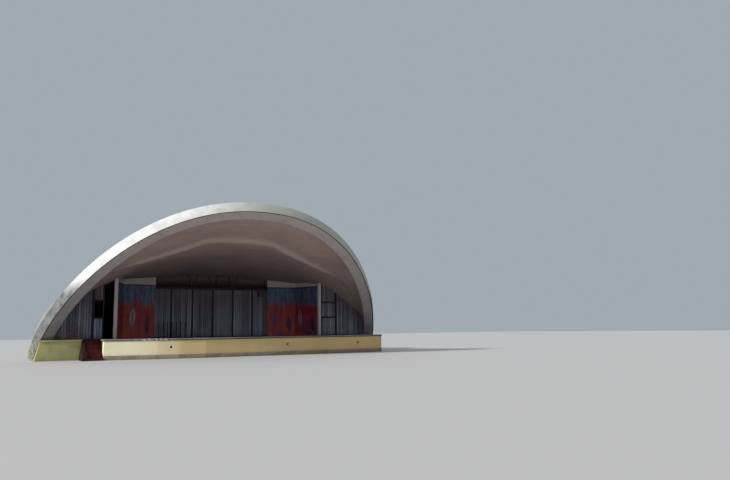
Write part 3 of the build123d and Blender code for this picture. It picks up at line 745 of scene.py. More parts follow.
class Mesh:
    """A mesh in the making, whose every solid may have a tone of its own."""

    sharpest_bend: float = 25.0

    def __init__(self) -> None:
        """Start empty."""
        self.bm = bmesh.new()
        self.tone = self.bm.verts.layers.float.new("tone")
        self.rounded = False

    def vertices(self, points: Iterable[Point], tone: float = 0.5) -> list[bmesh.types.BMVert]:
        """Add loose vertices of one tone.

        Args:
            points: Where they stand.
            tone: Their tone.

        Returns:
            The new vertices, in order.
        """
        made = [self.bm.verts.new(point) for point in points]
        for vertex in made:
            vertex[self.tone] = tone
        return made

    def prism(
        self, bottom: Sequence[Point], top: Sequence[Point], tone: float = 0.5, material: int = 0
    ) -> None:
        """Join two outlines of as many points into one closed solid.

        Args:
            bottom: The first outline.
            top: The outline over it, point for point.
            tone: The solid's own tone.
            material: The number of its material.
        """
        low = self.vertices(bottom, tone)
        high = self.vertices(top, tone)
        count = len(low)
        faces = [self.bm.faces.new(low[::-1]), self.bm.faces.new(high)]
        for here in range(count):
            after = (here + 1) % count
            faces.append(self.bm.faces.new((low[here], low[after], high[after], high[here])))
        for face in faces:
            face.material_index = material

    def box(self, low: Point, high: Point, tone: float = 0.5, material: int = 0) -> None:
        """Add a block between two corners."""
        corners = rectangle(low, high)
        self.prism([(*c, low[2]) for c in corners], [(*c, high[2]) for c in corners], tone, material)

    def grid(self, rows: np.ndarray, material: int = 0) -> list[list[bmesh.types.BMVert]]:
        """Add a sheet of quads through rows of points, and return its vertices.

        Args:
            rows: The rows, each of as many points.
            material: The number of the sheet's material.

        Returns:
            The new vertices, row by row.
        """
        made = [self.vertices([tuple(point) for point in row]) for row in rows]
        self.strip(made, material)
        return made

    def strip(self, rows: Sequence[Sequence[bmesh.types.BMVert]], material: int = 0) -> None:
        """Fill the quads between rows of vertices.

        Args:
            rows: The rows, each of as many vertices.
            material: The number of the quads' material.
        """
        for here, after in zip(rows[:-1], rows[1:]):
            for a, b, c, d in zip(here[:-1], here[1:], after[1:], after[:-1]):
                self.bm.faces.new((a, b, c, d)).material_index = material

    def bevel(self, width: float, segments: int = 1) -> None:
        """Round every sharp edge, and keep the faces between them flat.

        Args:
            width: How far the rounding reaches from each edge.
            segments: How many facets the rounding has.
        """
        limit = radians(self.sharpest_bend)
        edges = [e for e in self.bm.edges if len(e.link_faces) == 2 and e.calc_face_angle() > limit]
        arrises = bmesh.ops.bevel(
            self.bm, geom=edges, offset=width, segments=segments,
            affect="EDGES", clamp_overlap=True, profile=0.5,
        )["faces"]
        for face in self.bm.faces:
            face.smooth = False
        for face in arrises:
            face.smooth = True
        self.rounded = True

    def publish(
        self, name: str, finishes: Sequence[Finish], replaces: Sequence[str], sharp: float = 35.0
    ) -> None:
        """Turn the mesh into a piece of the shell.

        Args:
            name: The piece's name.
            finishes: Its finishes, in the order of their numbers.
            replaces: The nodes of the frame that it stands for.
            sharp: The angle from which an edge stays sharp, in degrees.
        """
        bmesh.ops.recalc_face_normals(self.bm, faces=self.bm.faces)
        if not self.rounded:
            for face in self.bm.faces:
                face.smooth = True
        mesh = bpy.data.meshes.new(name)
        self.bm.to_mesh(mesh)
        self.bm.free()
        for finish in finishes:
            mesh.materials.append(finish.material())
        if not self.rounded:
            mesh.set_sharp_from_angle(angle=radians(sharp))
        piece = add_object(name, mesh)
        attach(piece, BODY)
        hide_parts(*replaces)
        log.info("%s: %d faces", name, len(mesh.polygons))


def rounded_copy(
    nodes: Sequence[str],
    name: str,
    finish: Finish,
    width: float,
    segments: int = 2,
    front: Finish | None = None,
) -> None:
    """Copy nodes of the frame as one piece, with the joints between them closed and the arrises round.

    Args:
        nodes: The nodes, which the copy replaces.
        name: The copy's name.
        finish: The copy's finish.
        width: How far the rounding reaches from each arris.
        segments: How many facets it has.
        front: The finish of the faces that look forwards, where it differs.
    """
    mesh = Mesh()
    bm = mesh.bm
    for node in nodes:
        bm.from_mesh(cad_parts[node].data)
    bmesh.ops.remove_doubles(bm, verts=bm.verts, dist=WELD)
    for _ in range(2):
        bmesh.ops.dissolve_limit(
            bm, angle_limit=FLAT_BEND, verts=bm.verts, edges=bm.edges, delimit={"NORMAL"}
        )
        by_corners: dict[frozenset, list[bmesh.types.BMFace]] = {}
        for face in bm.faces:
            by_corners.setdefault(frozenset(face.verts), []).append(face)
        joints = [face for faces in by_corners.values() if len(faces) > 1 for face in faces]
        bmesh.ops.delete(bm, geom=joints, context="FACES_ONLY")
        loose = [edge for edge in bm.edges if not edge.link_faces]
        bmesh.ops.delete(bm, geom=loose, context="EDGES")
    for face in bm.faces:
        face.normal_update()
        face.material_index = 1 if front and face.normal.y < FACES_FORWARD else 0
    mesh.bevel(width, segments)
    mesh.publish(name, [finish, front] if front else [finish], nodes)


@dataclass(frozen=True)
class ArchLine:
    """An arch that is neither a circle nor a parabola: full at the shoulders, steep at the feet."""

    half_span: float
    rise: float
    shoulder: float
    fall: float

    def points(self, angles: np.ndarray) -> np.ndarray:
        """Return (across, up) for angles from -90 at one foot to 90 at the other.

        Args:
            angles: Where along the arch.

        Returns:
            One point for each angle.
        """
        turn = np.radians(angles)
        up = self.rise * np.maximum(0.0, 1 - np.abs(np.sin(turn)) ** self.shoulder) ** self.fall
        return np.stack([self.half_span * np.sin(turn), up], axis=-1)

    def normals(self, angles: np.ndarray) -> np.ndarray:
        """Return the outward normals at the angles.

        Args:
            angles: Where along the arch.

        Returns:
            One unit vector for each angle, level at the feet.
        """
        beside = 0.25
        chord = self.points(np.minimum(angles + beside, 90)) - self.points(np.maximum(angles - beside, -90))
        normal = np.stack([-chord[:, 1], chord[:, 0]], axis=-1)
        normal /= np.linalg.norm(normal, axis=-1, keepdims=True)
        feet = np.abs(angles) >= 90
        normal[feet] = np.stack([np.sign(angles[feet]), np.zeros(feet.sum())], axis=-1)
        return normal


@dataclass(frozen=True)
class LeaningPlane:
    """A plane that leans about its line of feet, forwards where lean is positive."""

    foot_y: float
    lean: float

    def world(self, across: np.ndarray, up: np.ndarray, behind: float = 0.0) -> np.ndarray:
        """Return points of the plane, or behind it, in the row frame.

        Args:
            across: How far along the feet.
            up: How far up the plane.
            behind: How far behind the plane.

        Returns:
            The points.
        """
        y = self.foot_y - up * sin(self.lean) + behind * cos(self.lean)
        z = up * cos(self.lean) + behind * sin(self.lean)
        return np.stack([across, y, z], axis=-1)


@dataclass(frozen=True)
class EdgeBeam:
    """The leaning edge beam of the arch, from foot to foot."""

    line: ArchLine = ArchLine(11.35, 11.16, 2.13, 0.657)
    plane: LeaningPlane = LeaningPlane(0.0, radians(40.0))
    fascia_out: float = 0.25
    depth: float = 0.61
    band_width: float = 0.67
    band_setback: float = 0.17
    drip_width: float = 0.05
    drip_depth: float = 0.035
    vault_inset: float = 0.50
    arris: float = 0.018
    fine_arris: float = 0.006

    def profile(self) -> list[tuple[float, float, float, int]]:
        """List the section's corners.

        Returns:
            Each corner as (outward, behind, rounding, finish of the side that follows).
        """
        return [
            (0.0, 0.0, self.fine_arris, 0),
            (self.fascia_out, self.depth, self.arris, 3),
            (-self.vault_inset, self.depth, 0.0, 2),
            (-self.band_width, self.band_setback, self.arris, 2),
            (-self.drip_width, self.drip_depth, self.fine_arris, 1),
            (-self.drip_width, 0.0, self.fine_arris, 1),
        ]

    def rounded_profile(self) -> list[tuple[float, float, int]]:
        """Cut the section's corners round.

        Returns:
            The section's points as (outward, behind, finish).
        """
        corners = self.profile()
        rounded = []
        for here, (w, n, radius, finish) in enumerate(corners):
            if radius == 0:
                rounded.append((w, n, finish))
                continue
            before, after = Vector(corners[here - 1][:2]), Vector(corners[(here + 1) % len(corners)][:2])
            corner = Vector((w, n))
            arrive = corner + (before - corner).normalized() * radius
            leave = corner + (after - corner).normalized() * radius
            middle = (arrive + leave + corner * 2) / 4
            side_before = corners[here - 1][3]
            rounded += [(*arrive, side_before), (*middle, finish), (*leave, finish)]
        return rounded

    def section_rows(self) -> np.ndarray:
        """Carry the section round the arch.

        Returns:
            One row of points along the arch for each point of the section.
        """
        points, normals = self.line.points(ARCH_ANGLES), self.line.normals(ARCH_ANGLES)
        rows = []
        for w, n, _ in self.rounded_profile():
            set_off = points + normals * w
            row = self.plane.world(set_off[:, 0], set_off[:, 1], n)
            rows.append(np.concatenate([[self.down_to_ground(row[0])], row, [self.down_to_ground(row[-1])]]))
        return np.array(rows)

    def down_to_ground(self, point: np.ndarray) -> np.ndarray:
        """Slide a point down the leaning plane to the ground."""
        run = point[2] / cos(self.plane.lean)
        return point + run * np.array([0.0, sin(self.plane.lean), -cos(self.plane.lean)])

    def build(self) -> None:
        """Sweep the section round the arch."""
        mesh = Mesh()
        rows = [mesh.vertices([tuple(point) for point in row]) for row in self.section_rows()]
        finishes = [finish for _, _, finish in self.rounded_profile()]
        for here, finish in enumerate(finishes):
            mesh.strip([rows[here], rows[(here + 1) % len(rows)]], finish)
        for end in (0, -1):
            mesh.bm.faces.new([row[end] for row in rows])
        lengths = [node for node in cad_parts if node.startswith("rim_")]
        mesh.publish("edge_beam", [FASCIA, DRIP_SHADOW, BAND, ROOF], lengths)


@dataclass(frozen=True)
class Ring:
    """An arch line of the vault, on a plane of its own."""

    foot_y: float
    crown_y: float
    crown_z: float
    half_span: float
    shoulder: float
    fall: float
    thickness: float = 0.18
    swell: float = 0.0
    sag: float = 0.0
    fold_half_width: float = 7.2
    level_half_width: float = 2.2
    sag_width: float = 5.6

    def trace(self, angles: np.ndarray, outward: float = 0.0) -> np.ndarray:
        """Return points of the ring, set outward by a distance.

        Args:
            angles: Where along the arch, from -90 at one foot to 90 at the other.
            outward: How far the points are set out from the skin's inner face.

        Returns:
            The points in the row frame.
        """
        lean = atan2(self.foot_y - self.crown_y, self.crown_z)
        rise = hypot(self.foot_y - self.crown_y, self.crown_z)
        line = ArchLine(self.half_span, rise, self.shoulder, self.fall)
        points = line.points(angles)
        across = np.abs(points[:, 0])
        reach = np.minimum(1.0, across / self.fold_half_width)
        slope = np.clip((across - self.level_half_width) / self.sag_width, 0.0, 1.0)
        points[:, 1] += self.swell * (1 - reach**4) - self.sag * 4 * slope * (1 - slope)
        points += line.normals(angles) * outward
        return LeaningPlane(self.foot_y, lean).world(points[:, 0], points[:, 1])


@dataclass(frozen=True)
class RimRing:
    """The vault's first ring, along the back of the edge beam."""

    beam: EdgeBeam
    thickness: float = 0.40

    def trace(self, angles: np.ndarray, outward: float = 0.0) -> np.ndarray:
        """Return points behind the beam, set outward from the vault's inner face.

        Args:
            angles: Where along the arch, from -90 at one foot to 90 at the other.
            outward: How far the points are set out from the skin's inner face.

        Returns:
            The points in the row frame.
        """
        beam = self.beam
        points = beam.line.points(angles) + beam.line.normals(angles) * (outward - beam.vault_inset)
        points[np.abs(angles) >= 90, 1] = -beam.depth * tan(beam.plane.lean)
        return beam.plane.world(points[:, 0], points[:, 1], beam.depth)


@dataclass
class Vault:
    """The concrete skin from the edge beam to the rear wall, with a folded lip in its ceiling."""

    beam: EdgeBeam
    bays: tuple[int, ...] = (14, 5, 16, 16, 18)
    first_smooth_bay: int = 2
    softened_rows: int = 2
    embed: float = 0.03
    head_start: float = 0.4
    tree: BVHTree = field(init=False)

    def rings(self) -> list[Ring | RimRing]:
        """Set out the arch lines that the skin is drawn through.

        Returns:
            The rings, from front to rear.
        """
        foot = self.beam.depth / cos(self.beam.plane.lean)
        rear_y = self.beam.line.rise * sin(self.beam.plane.lean)
        return [
            RimRing(self.beam),
            Ring(foot + 0.15, -3.60, 7.17, 11.25, 2.1, 0.57, swell=0.21, sag=0.48),
            Ring(foot + 0.30, -3.50, 7.13, 11.30, 2.1, 0.55, sag=0.48),
            Ring(foot + 0.60, -0.60, 6.36, 11.30, 2.1, 0.61),
            Ring(foot + 1.10, 2.35, 5.54, 11.15, 3.4, 0.40, sag=0.30),
            Ring(rear_y, rear_y, 4.20, 9.70, 2.5, 0.42, thickness=0.16),
        ]

    def sheet(self, outer: bool) -> np.ndarray:
        """Return the skin's inner or outer face as rows across, from front to rear.

        Args:
            outer: Whether it is the outer face.

        Returns:
            The points, row by row.
        """
        traces = [ring.trace(ARCH_ANGLES, ring.thickness if outer else 0.0) for ring in self.rings()]
        rows = []
        for bay, count in enumerate(self.bays):
            start, end = traces[bay], traces[bay + 1]
            chord = before = after = end - start
            if bay > self.first_smooth_bay:
                last = traces[bay - 1]
                before = (end - last) / 2 * self.ratio(chord, start - last)
            if self.first_smooth_bay <= bay < len(self.bays) - 1:
                following = traces[bay + 2]
                after = (following - start) / 2 * self.ratio(chord, following - end)
            for share in np.arange(count) / count:
                rows.append(
                    (2 * share**3 - 3 * share**2 + 1) * start
                    + (share**3 - 2 * share**2 + share) * before
                    + (3 * share**2 - 2 * share**3) * end
                    + (share**3 - share**2) * after
                )
        rows.append(traces[-1])
        sheet = np.array(rows)
        first = self.bays[0] - self.softened_rows
        last = self.bays[0] + self.bays[1] + self.softened_rows
        beside = sheet[first - 1:last - 1] + 2 * sheet[first:last] + sheet[first + 1:last + 1]
        sheet[first:last] = beside / 4
        return sheet

    @staticmethod
    def ratio(chord: np.ndarray, beside: np.ndarray) -> np.ndarray:
        """Return how long a bay is beside the mean of it and its neighbour, point for point."""
        own = np.linalg.norm(chord, axis=-1, keepdims=True)
        return 2 * own / (own + np.linalg.norm(beside, axis=-1, keepdims=True))

    def build(self) -> None:
        """Make the skin as one closed shell and keep its ceiling for measuring headroom."""
        inner, outer = self.sheet(False), self.sheet(True)
        mesh = Mesh()
        low = mesh.grid(inner, 0)
        high = mesh.grid(outer, 1)
        for row in (0, -1):
            mesh.strip([low[row], high[row]], 1)
        for end in (0, -1):
            mesh.strip([[row[end] for row in low], [row[end] for row in high]], 1)
        nodes = [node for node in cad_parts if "vault" in node]
        mesh.publish("vault_skin", [CEILING, ROOF], nodes, sharp=50.0)
        rows, across, _ = inner.shape
        flat = [tuple(point) for point in inner.reshape(-1, 3)]
        starts = [row * across + here for row in range(rows - 1) for here in range(across - 1)]
        quads = [(start, start + 1, start + across + 1, start + across) for start in starts]
        self.tree = BVHTree.FromPolygons(flat, quads)

    def headroom(self, x: float, y: float) -> float:
        """Return the height of the ceiling over a point, plus the depth by which a head is let into it."""
        hit = self.tree.ray_cast(Vector((x, y, self.head_start)), Vector((0, 0, 1)))[0]
        return (hit.z if hit else self.head_start) + self.embed

    def post(self, mesh: Mesh, feet: Sequence[tuple[float, float]], bottom: float, tone: float = 0.5) -> None:
        """Raise a post whose head is cut to the slope of the ceiling."""
        heads = [(*foot, self.headroom(*foot)) for foot in feet]
        mesh.prism([(*foot, bottom) for foot in feet], heads, tone)


@dataclass
class BackWalls:
    """The slatted walls behind the stage, with their posts, beam, rails and struts."""

    vault: Vault
    deck: float = 1.20
    wall_y: float = 2.35
    thickness: float = 0.09
    bay: float = 1.45
    bays_each_side: int = 3
    post: float = 0.11
    top: float = 4.48
    board_pitch: float = 0.149
    board_gap: float = 0.026
    board_thickness: float = 0.026
    foot_gap: float = 0.02
    wing_y: float = -0.54
    wing_post_x: float = 8.24
    wing_post: float = 0.14
    passage_post_x: float = 7.66
    passage_post: float = 0.07
    projection: float = 0.02
    screen_edge_x: float = 7.07
    shadow_gap: float = 0.08
    lintel: float = 3.50
    mid_rail: float = 2.42
    rail: float = 0.09
    wall_end_x: float = 11.2
    strut_spread: float = 0.30
    strut: float = 0.06
    beam: float = 0.15
    ledger: float = 0.07
    ledger_tone: float = 0.1
    foot_ledger: float = 0.06
    middle_ledger_z: float = 2.75
    head_ledger: float = 0.16
    shortest_board: float = 0.05
    reach_step: float = 0.05
    board_arris: float = 0.003
    steel_arris: float = 0.004
    stanchion_arris: float = 0.005
    seed: int = 11

    def __post_init__(self) -> None:
        """Seed the boards' tones."""
        self.chance = random.Random(self.seed)

    def boards(
        self, mesh: Mesh, left: float, right: float, y: float, bottom: float, top: float | None
    ) -> None:
        """Fill a bay with upright boards on both faces of its rails.

        Args:
            mesh: What the boards are added to.
            left: The bay's left edge.
            right: Its right edge.
            y: The front of the wall.
            bottom: The foot of the boards.
            top: Their head, or None where they run up to the vault.
        """
        count = max(1, round((right - left) / self.board_pitch))
        pitch = (right - left) / count
        back = y + self.thickness
        for board in range(count):
            x0 = left + board * pitch + self.board_gap / 2
            x1 = left + (board + 1) * pitch - self.board_gap / 2
            tone = self.chance.random()
            for front, rear in ((y, y + self.board_thickness), (back - self.board_thickness, back)):
                heads = [top if top is not None else self.vault.headroom(x, front) for x in (x0, x1)]
                if min(heads) < bottom + self.foot_gap + self.shortest_board:
                    continue
                feet = [(x0, front), (x1, front), (x1, rear), (x0, rear)]
                tops = [heads[0], heads[1], heads[1], heads[0]]
                mesh.prism(
                    [(*foot, bottom + self.foot_gap) for foot in feet],
                    [(*foot, head) for foot, head in zip(feet, tops)],
                    tone,
                )

    def ledgers(self, mesh: Mesh, left: float, right: float, y: float, heights: Sequence[float]) -> None:
        """Run the rails that the boards are nailed to, between the two faces.

        Args:
            mesh: What the rails are added to.
            left: Their left end.
            right: Their right end.
            y: The front of the wall.
            heights: The foot of each rail.
        """
        for height in heights:
            low = (left, y + self.board_thickness, height)
            high = (right, y + self.thickness - self.board_thickness, height + self.ledger)
            mesh.box(low, high, self.ledger_tone)

    def central_wall(self) -> None:
        """Board the bays between the screens."""
        mesh = Mesh()
        ledgers = (self.deck + self.foot_ledger, self.middle_ledger_z, self.top - self.head_ledger)
        for number in range(-self.bays_each_side, self.bays_each_side):
            left = number * self.bay + self.post / 2
            right = left + self.bay - self.post
            self.boards(mesh, left, right, self.wall_y, self.deck, self.top)
            self.ledgers(mesh, left, right, self.wall_y, ledgers)
        mesh.bevel(self.board_arris)
        mesh.publish("back_wall_boards", [BOARDS], ["back_wall_panels"])

    def wing(self, side: Side) -> None:
        """Board the outer part of a wing wall, up to the vault.

        Args:
            side: Which side of the stage.
        """
        mesh = Mesh()
        inner = self.wing_post_x + self.wing_post / 2
        left, right = sorted((side.value * inner, side.value * self.wall_end_x))
        self.boards(mesh, left, right, self.wing_y, self.deck, None)
        for height in (self.deck + self.foot_ledger, self.mid_rail, self.lintel):
            reach = self.reach(side, height)
            if reach > inner:
                near, far = sorted((side.value * inner, side.value * reach))
                self.ledgers(mesh, near, far, self.wing_y, (height,))
        mesh.bevel(self.board_arris)
        mesh.publish(f"{side.label}_wing_boards", [BOARDS], [f"{side.label}_wing_wall"])

    def reach(self, side: Side, height: float) -> float:
        """Return how far out the vault clears a height, along a wing wall.

        Args:
            side: Which side of the stage.
            height: The foot of a rail.

        Returns:
            The distance from the middle of the stage.
        """
        x = self.wing_post_x
        while x < self.wall_end_x and self.vault.headroom(side.value * x, self.wing_y) > height + self.rail:
            x += self.reach_step
        return x

    def bay_panels(self) -> None:
        """Board the bays beside the screens, and leave the left one's upper light open."""
        mesh = Mesh()
        left_bay = (-self.wing_post_x + self.wing_post / 2, -self.passage_post_x - self.passage_post / 2)
        right_bay = (self.screen_edge_x + self.shadow_gap, self.wing_post_x - self.wing_post / 2)
        low = (self.deck, self.mid_rail)
        middle = (self.mid_rail + self.rail, self.lintel)
        high = (self.lintel + self.rail, None)
        for bay, heights in ((left_bay, (low, high)), (right_bay, (low, middle, high))):
            for bottom, top in heights:
                self.boards(mesh, *bay, self.wing_y, bottom, top)
        mesh.bevel(self.board_arris)
        mesh.publish("wing_bay_boards", [BOARDS], ["wing_bay_panels"])

    def posts_and_rails(self) -> None:
        """Set the wing walls' posts up to the vault, with the rails between them."""
        mesh = Mesh()
        front, back = self.wing_y - self.projection, self.wing_y + self.thickness
        wings = [(-self.wing_post_x, self.wing_post), (self.wing_post_x, self.wing_post)]
        for x, size in (*wings, (-self.passage_post_x, self.passage_post)):
            self.vault.post(mesh, rectangle((x - size / 2, front), (x + size / 2, back)), self.deck)
        mesh.bevel(self.steel_arris)
        mesh.publish("wing_wall_posts", [STEEL], ["wing_posts"])
        rounded_copy(["wing_rails"], "wing_wall_rails", STEEL, self.steel_arris, segments=1)

    def clerestory(self) -> None:
        """Set pairs of leaning struts from the beam to the ceiling."""
        mesh = Mesh()
        y = self.wall_y + self.thickness / 2
        foot_z = self.top + self.beam
        for bay in (-1, 0, 1):
            for lean in (-1, 1):
                foot_x = self.bay * bay + lean * self.strut
                head_x = foot_x + lean * self.strut_spread
                head_z = self.vault.headroom(head_x, y)
                feet = square(foot_x, y, self.strut / 2)
                heads = [(x + head_x - foot_x, foot_y, head_z) for x, foot_y in feet]
                mesh.prism([(*foot, foot_z) for foot in feet], heads)
        mesh.bevel(self.steel_arris)
        mesh.publish("clerestory_strut_pairs", [STEEL], ["clerestory_struts"])

    def build(self) -> None:
        """Build every wall behind the stage."""
        self.central_wall()
        for side in Side:
            self.wing(side)
        self.bay_panels()
        self.posts_and_rails()
        self.clerestory()
        steel = (("back_wall_posts", "back_wall_stanchions"), ("back_wall_beam", "back_wall_lintel"))
        for node, name in steel:
            rounded_copy([node], name, STEEL, self.stanchion_arris, segments=1)


@dataclass
class Screens:
    """The two painted screens, each with two leaves, a header up to the ceiling and an outer post."""

    vault: Vault
    deck: float = 1.20
    inner: tuple[float, float] = (4.0, 2.2)
    fold: tuple[float, float] = (6.12, 1.9)
    post: tuple[float, float] = (6.95, -0.48)
    post_size: float = 0.24
    post_casing: float = 0.20
    header_bottom: float = 4.74
    thickness: float = 0.06
    header_thickness: float = 0.12
    header_step: float = 0.2
    sheet_width: float = 1.22
    joint: float = 0.004
    leaf_arris: float = 0.002
    post_arris: float = 0.008
    post_tone: float = 0.7

    def path(self, side: Side, forward: float) -> list[Vector]:
        """Return a screen's front line in plan, set forward by a distance.

        Args:
            side: Which side of the stage.
            forward: The distance.

        Returns:
            The line's corners, from the inner end.
        """
        corners = [Vector((side.value * x, y)) for x, y in (self.inner, self.fold)]
        corners.append(Vector((side.value * self.post[0], self.post[1] + self.post_size / 2)))
        return [corner + Vector((0.0, -forward)) for corner in corners]

    @staticmethod
    def sideways(side: Side, start: Vector, end: Vector) -> Vector:
        """Return the direction from a leaf's front to its back."""
        run = (end - start).normalized()
        return Vector((-run.y, run.x)) if side is Side.RIGHT else Vector((run.y, -run.x))

    def leaves(self, side: Side) -> None:
        """Hang the painted sheets of a screen, with open joints between them.

        Args:
            side: Which side of the stage.
        """
        mesh = Mesh()
        corners = self.path(side, 0.0)
        for start, end in zip(corners[:-1], corners[1:]):
            back = self.sideways(side, start, end) * self.thickness
            length = (end - start).length
            sheets = max(1, round(length / self.sheet_width))
            for sheet in range(sheets):
                low = start.lerp(end, sheet / sheets + self.joint / length)
                high = start.lerp(end, (sheet + 1) / sheets - self.joint / length)
                outline = [low, high, high + back, low + back]
                mesh.prism([(*p, self.deck) for p in outline], [(*p, self.header_bottom) for p in outline])
        mesh.bevel(self.leaf_arris)
        name = f"{side.label}_screen"
        mural = LEFT_MURAL if side is Side.LEFT else RIGHT_MURAL
        mesh.publish(f"{name}_leaves", [mural], [name])

    def header(self, side: Side) -> None:
        """Fill between the screen's head and the ceiling with a pale board.

        Args:
            side: Which side of the stage.
        """
        mesh = Mesh()
        corners = self.path(side, (self.header_thickness - self.thickness) / 2)
        for start, end in zip(corners[:-1], corners[1:]):
            back = self.sideways(side, start, end) * self.header_thickness
            steps = max(2, round((end - start).length / self.header_step))
            stations = [start.lerp(end, step / steps) for step in range(steps + 1)]
            front_low = mesh.vertices([(*p, self.header_bottom) for p in stations])
            front_high = mesh.vertices([(*p, self.vault.headroom(*p)) for p in stations])
            rear = [p + back for p in stations]
            back_high = mesh.vertices([(*p, self.vault.headroom(*p)) for p in rear])
            back_low = mesh.vertices([(*p, self.header_bottom) for p in rear])
            rows = [front_low, front_high, back_high, back_low, front_low]
            mesh.strip(rows)
            for end_row in (0, -1):
                mesh.bm.faces.new([row[end_row] for row in rows[:-1]])
        name = f"{side.label}_screen_header"
        mesh.publish(f"{name}_board", [HEADER_WHITE], [name])

    def outer_post(self, side: Side) -> None:
        """Raise the pale post at the screen's outer edge.

        Args:
            side: Which side of the stage.
        """
        mesh = Mesh()
        half = self.post_casing / 2
        x, y = side.value * self.post[0], self.post[1] + (self.post_size - self.post_casing) / 2
        self.vault.post(mesh, square(x, y, half), self.deck, self.post_tone)
        mesh.bevel(self.post_arris, segments=2)
        name = f"{side.label}_screen_post"
        mesh.publish(f"{name}_cased", [POST_WHITE], [name])

    def build(self) -> None:
        """Build both screens."""
        for side in Side:
            self.leaves(side)
            self.header(side)
            self.outer_post(side)


@dataclass
class Stage:
    """The stage's walls, coping, plinth, deck and rear wall."""

    wall_arris: float = 0.008
    fine_arris: float = 0.006
    coping_arris: float = 0.012

    def build(self) -> None:
        """Rub the arrises of the masonry round and finish it."""
        for nodes, name, finish, inside in (
            (["apron_front_wall", "apron_vent_bays"], "apron_render", APRON, None),
            (["apron_left_return"], "left_return_render", MAROON, None),
            (["apron_right_return"], "right_return_render", APRON, None),
            (["platform_wall"], "platform_render", MOSSY, None),
            # The rear wall's forward faces take painted shade.
            (["rear_wall"], "rear_wall_render", REAR, BACKSTAGE_SHADE),
        ):
            rounded_copy(nodes, name, finish, self.wall_arris, front=inside)
        rounded_copy(["apron_plinth"], "plinth_course", PLINTH, self.fine_arris)
        rounded_copy(
            ["apron_coping"], "coping_course", COPING, self.coping_arris, segments=3
        )
        rounded_copy(
            ["stage_deck"], "deck_screed", DECK, self.fine_arris, front=MOSSY
        )


@dataclass
class Stair:
    """The brick stair at the left end of the apron."""

    left_x: float = -8.76
    width: float = 0.87
    risers: int = 8
    riser: float = 0.15
    tread: float = 0.25
    head_y: float = -0.87
    brick_width: float = 0.105
    joint: float = 0.010
    face: float = 0.004
    brick_arris: float = 0.004
    cheek_arris: float = 0.010
    seed: int = 5

    def build(self) -> None:
        """Lay each step's bricks on edge over a bed of mortar."""
        chance = random.Random(self.seed)
        mesh = Mesh()
        foot_y = self.head_y - self.risers * self.tread
        count = round(self.width / (self.brick_width + self.joint))
        pitch = self.width / count
        for step in range(self.risers):
            front = foot_y + step * self.tread
            top = (step + 1) * self.riser
            for brick in range(count):
                x0 = self.left_x + brick * pitch + self.joint / 2
                x1 = self.left_x + (brick + 1) * pitch - self.joint / 2
                low = (x0, front, top - self.riser + self.joint)
                mesh.box(low, (x1, front + self.tread - self.joint, top), chance.random())
            bed_low = (self.left_x + self.face, front + self.face, 0.0)
            bed_high = (self.left_x + self.width - self.face, self.head_y, top - self.face)
            mesh.box(bed_low, bed_high, material=1)
        mesh.bevel(self.brick_arris)
        mesh.publish("stair_bricks", [BRICK, MORTAR], ["stair_flight"])
        rounded_copy(["stair_cheek"], "stair_side", CHEEK, self.cheek_arris)


@dataclass
class Fittings:
    """The guard rail, the dark uprights at the back of the stage and the loudspeaker."""

    case_wall: float = 0.018
    grille_recess: float = 0.015
    grille_bar: float = 0.006
    bar_depth: float = 0.005
    bar_setback: float = 0.003
    grille_spaces: int = 20
    case_arris: float = 0.003
    rail_arris: float = 0.004
    upright_arris: float = 0.006

    def speaker(self) -> None:
        """Build a case with a recessed grille of level bars."""
        low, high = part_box("speaker_box")
        left, right = low.x + self.case_wall, high.x - self.case_wall
        front = low.y + self.grille_recess
        mesh = Mesh()
        mesh.box((low.x, front, low.z), tuple(high))
        for x0, x1, z0, z1 in (
            (low.x, left, low.z, high.z),
            (right, high.x, low.z, high.z),
            (left, right, low.z, low.z + self.case_wall),
            (left, right, high.z - self.case_wall, high.z),
        ):
            mesh.box((x0, low.y, z0), (x1, front, z1))
        half = self.grille_bar / 2
        back = front - self.bar_setback
        for bar in range(1, self.grille_spaces):
            z = low.z + self.case_wall + (high.z - low.z - 2 * self.case_wall) * bar / self.grille_spaces
            mesh.box((left, back - self.bar_depth, z - half), (right, back, z + half), material=1)
        mesh.bevel(self.case_arris)
        mesh.publish("speaker_cabinet", [CASE, GRILLE], ["speaker_box"])

    def build(self) -> None:
        """Finish the small steel pieces and build the loudspeaker."""
        rounded_copy(["guard_rail"], "guard_rail_bars", RAIL_PAINT, self.rail_arris)
        rounded_copy(["stage_bars"], "stage_uprights", STEEL, self.upright_arris)
        self.speaker()


@dataclass(frozen=True)
class Viewpoint:
    """The photograph's camera, far in front of the shell and a little left of its left foot."""

    place: Point = (-13.761, -43.627, 1.6)
    heading: float = 29.66
    focal_pixels: float = 660.0
    horizon_pixel: float = 328.95
    roll: float = 0.77
    width_pixels: float = 730.0
    height_pixels: float = 480.0
    sensor: float = 36.0
    clip_end: float = 400.0

    def build(self) -> None:
        """Set the camera up."""
        pitch = atan((self.horizon_pixel - self.height_pixels / 2) / self.focal_pixels)
        turn = radians(self.heading)
        level = Vector((sin(turn), cos(turn), 0.0))
        right = Vector((cos(turn), -sin(turn), 0.0))
        ahead = level * cos(pitch) + Vector((0, 0, sin(pitch)))
        above = level * -sin(pitch) + Vector((0, 0, cos(pitch)))
        tilt = radians(self.roll)
        camera_right = right * cos(tilt) - above * sin(tilt)
        camera_up = right * sin(tilt) + above * cos(tilt)
        data = bpy.data.cameras.new("camera")
        data.sensor_width = self.sensor
        data.lens = self.focal_pixels * self.sensor / self.width_pixels
        data.clip_end = self.clip_end
        camera = add_object("camera", data)
        rotation = Matrix((camera_right, camera_up, -ahead)).transposed().to_4x4()
        camera.matrix_world = Matrix.Translation(self.place) @ rotation
        bpy.context.scene.camera = camera


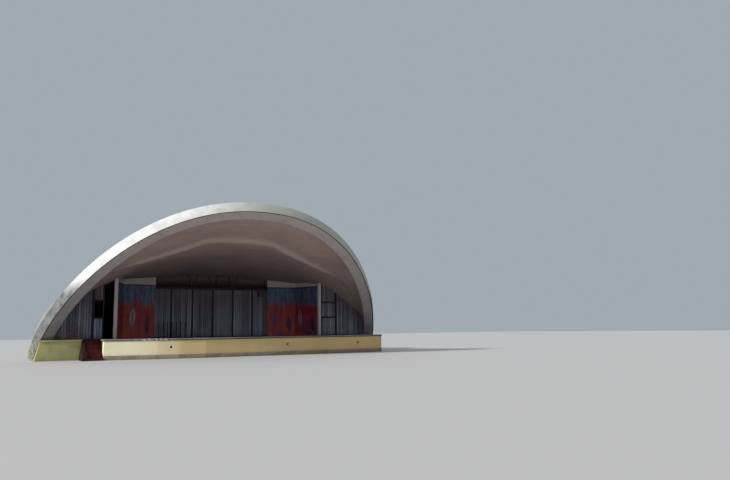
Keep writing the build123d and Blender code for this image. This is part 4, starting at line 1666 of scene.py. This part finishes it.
@dataclass(frozen=True)
class Studio:
    """A pale floor, a soft sun from the left and an even sky."""

    floor_half: float = 150.0
    sun_from: Point = (-0.88, -0.11, 0.48)
    sun_strength: float = 3.05
    sun_angle: float = 6.0
    sky_strength: float = 0.42

    def floor(self) -> None:
        """Lay the floor at the height that the shell stands on."""
        mesh = bpy.data.meshes.new("floor")
        corners = square(0.0, 0.0, self.floor_half)
        mesh.from_pydata([(*corner, 0.0) for corner in corners], [], [(0, 1, 2, 3)])
        paint = Paint("floor")
        paint.colour = paint.mix(paint.seen_directly(), BOUNCE_COLOUR, FLOOR_COLOUR)
        paint.dress(0.9, shine=COMMON_SHINE)
        mesh.materials.append(paint.material)
        floor = add_object("floor", mesh)

    def sun(self) -> None:
        """Set the soft sun."""
        data = bpy.data.lights.new("sun", "SUN")
        data.energy = self.sun_strength
        data.angle = radians(self.sun_angle)
        lamp = add_object("sun", data)
        lamp.rotation_euler = Vector(self.sun_from).to_track_quat("Z", "Y").to_euler()

    def sky(self) -> None:
        """Set the even sky, which the camera sees as a plain pale ground."""
        world = bpy.data.worlds.new("sky")
        world.use_nodes = True
        nodes = Nodes(world.node_tree)
        plain = nodes.node("Background", inputs={"Color": SKY_COLOUR, "Strength": 1.0})
        glow = nodes.node("Background", inputs={"Color": SKY_LIGHT, "Strength": self.sky_strength})
        seen = nodes.node("MixShader", inputs={0: nodes.seen_directly(), 1: glow, 2: plain})
        nodes.feed(world.node_tree.nodes["World Output"].inputs["Surface"], seen)
        bpy.context.scene.world = world

    def build(self) -> None:
        """Lay the floor and set the lights."""
        self.floor()
        self.sun()
        self.sky()
        bpy.context.scene.view_settings.view_transform = "Standard"


def main() -> None:
    """Build the shell's parts in order, from the camera to the small fittings."""
    Viewpoint().build()
    Studio().build()
    beam = EdgeBeam()
    beam.build()
    vault = Vault(beam)
    vault.build()
    BackWalls(vault).build()
    Screens(vault).build()
    Stage().build()
    Stair().build()
    Fittings().build()


if __name__ == "__main__":
    main()
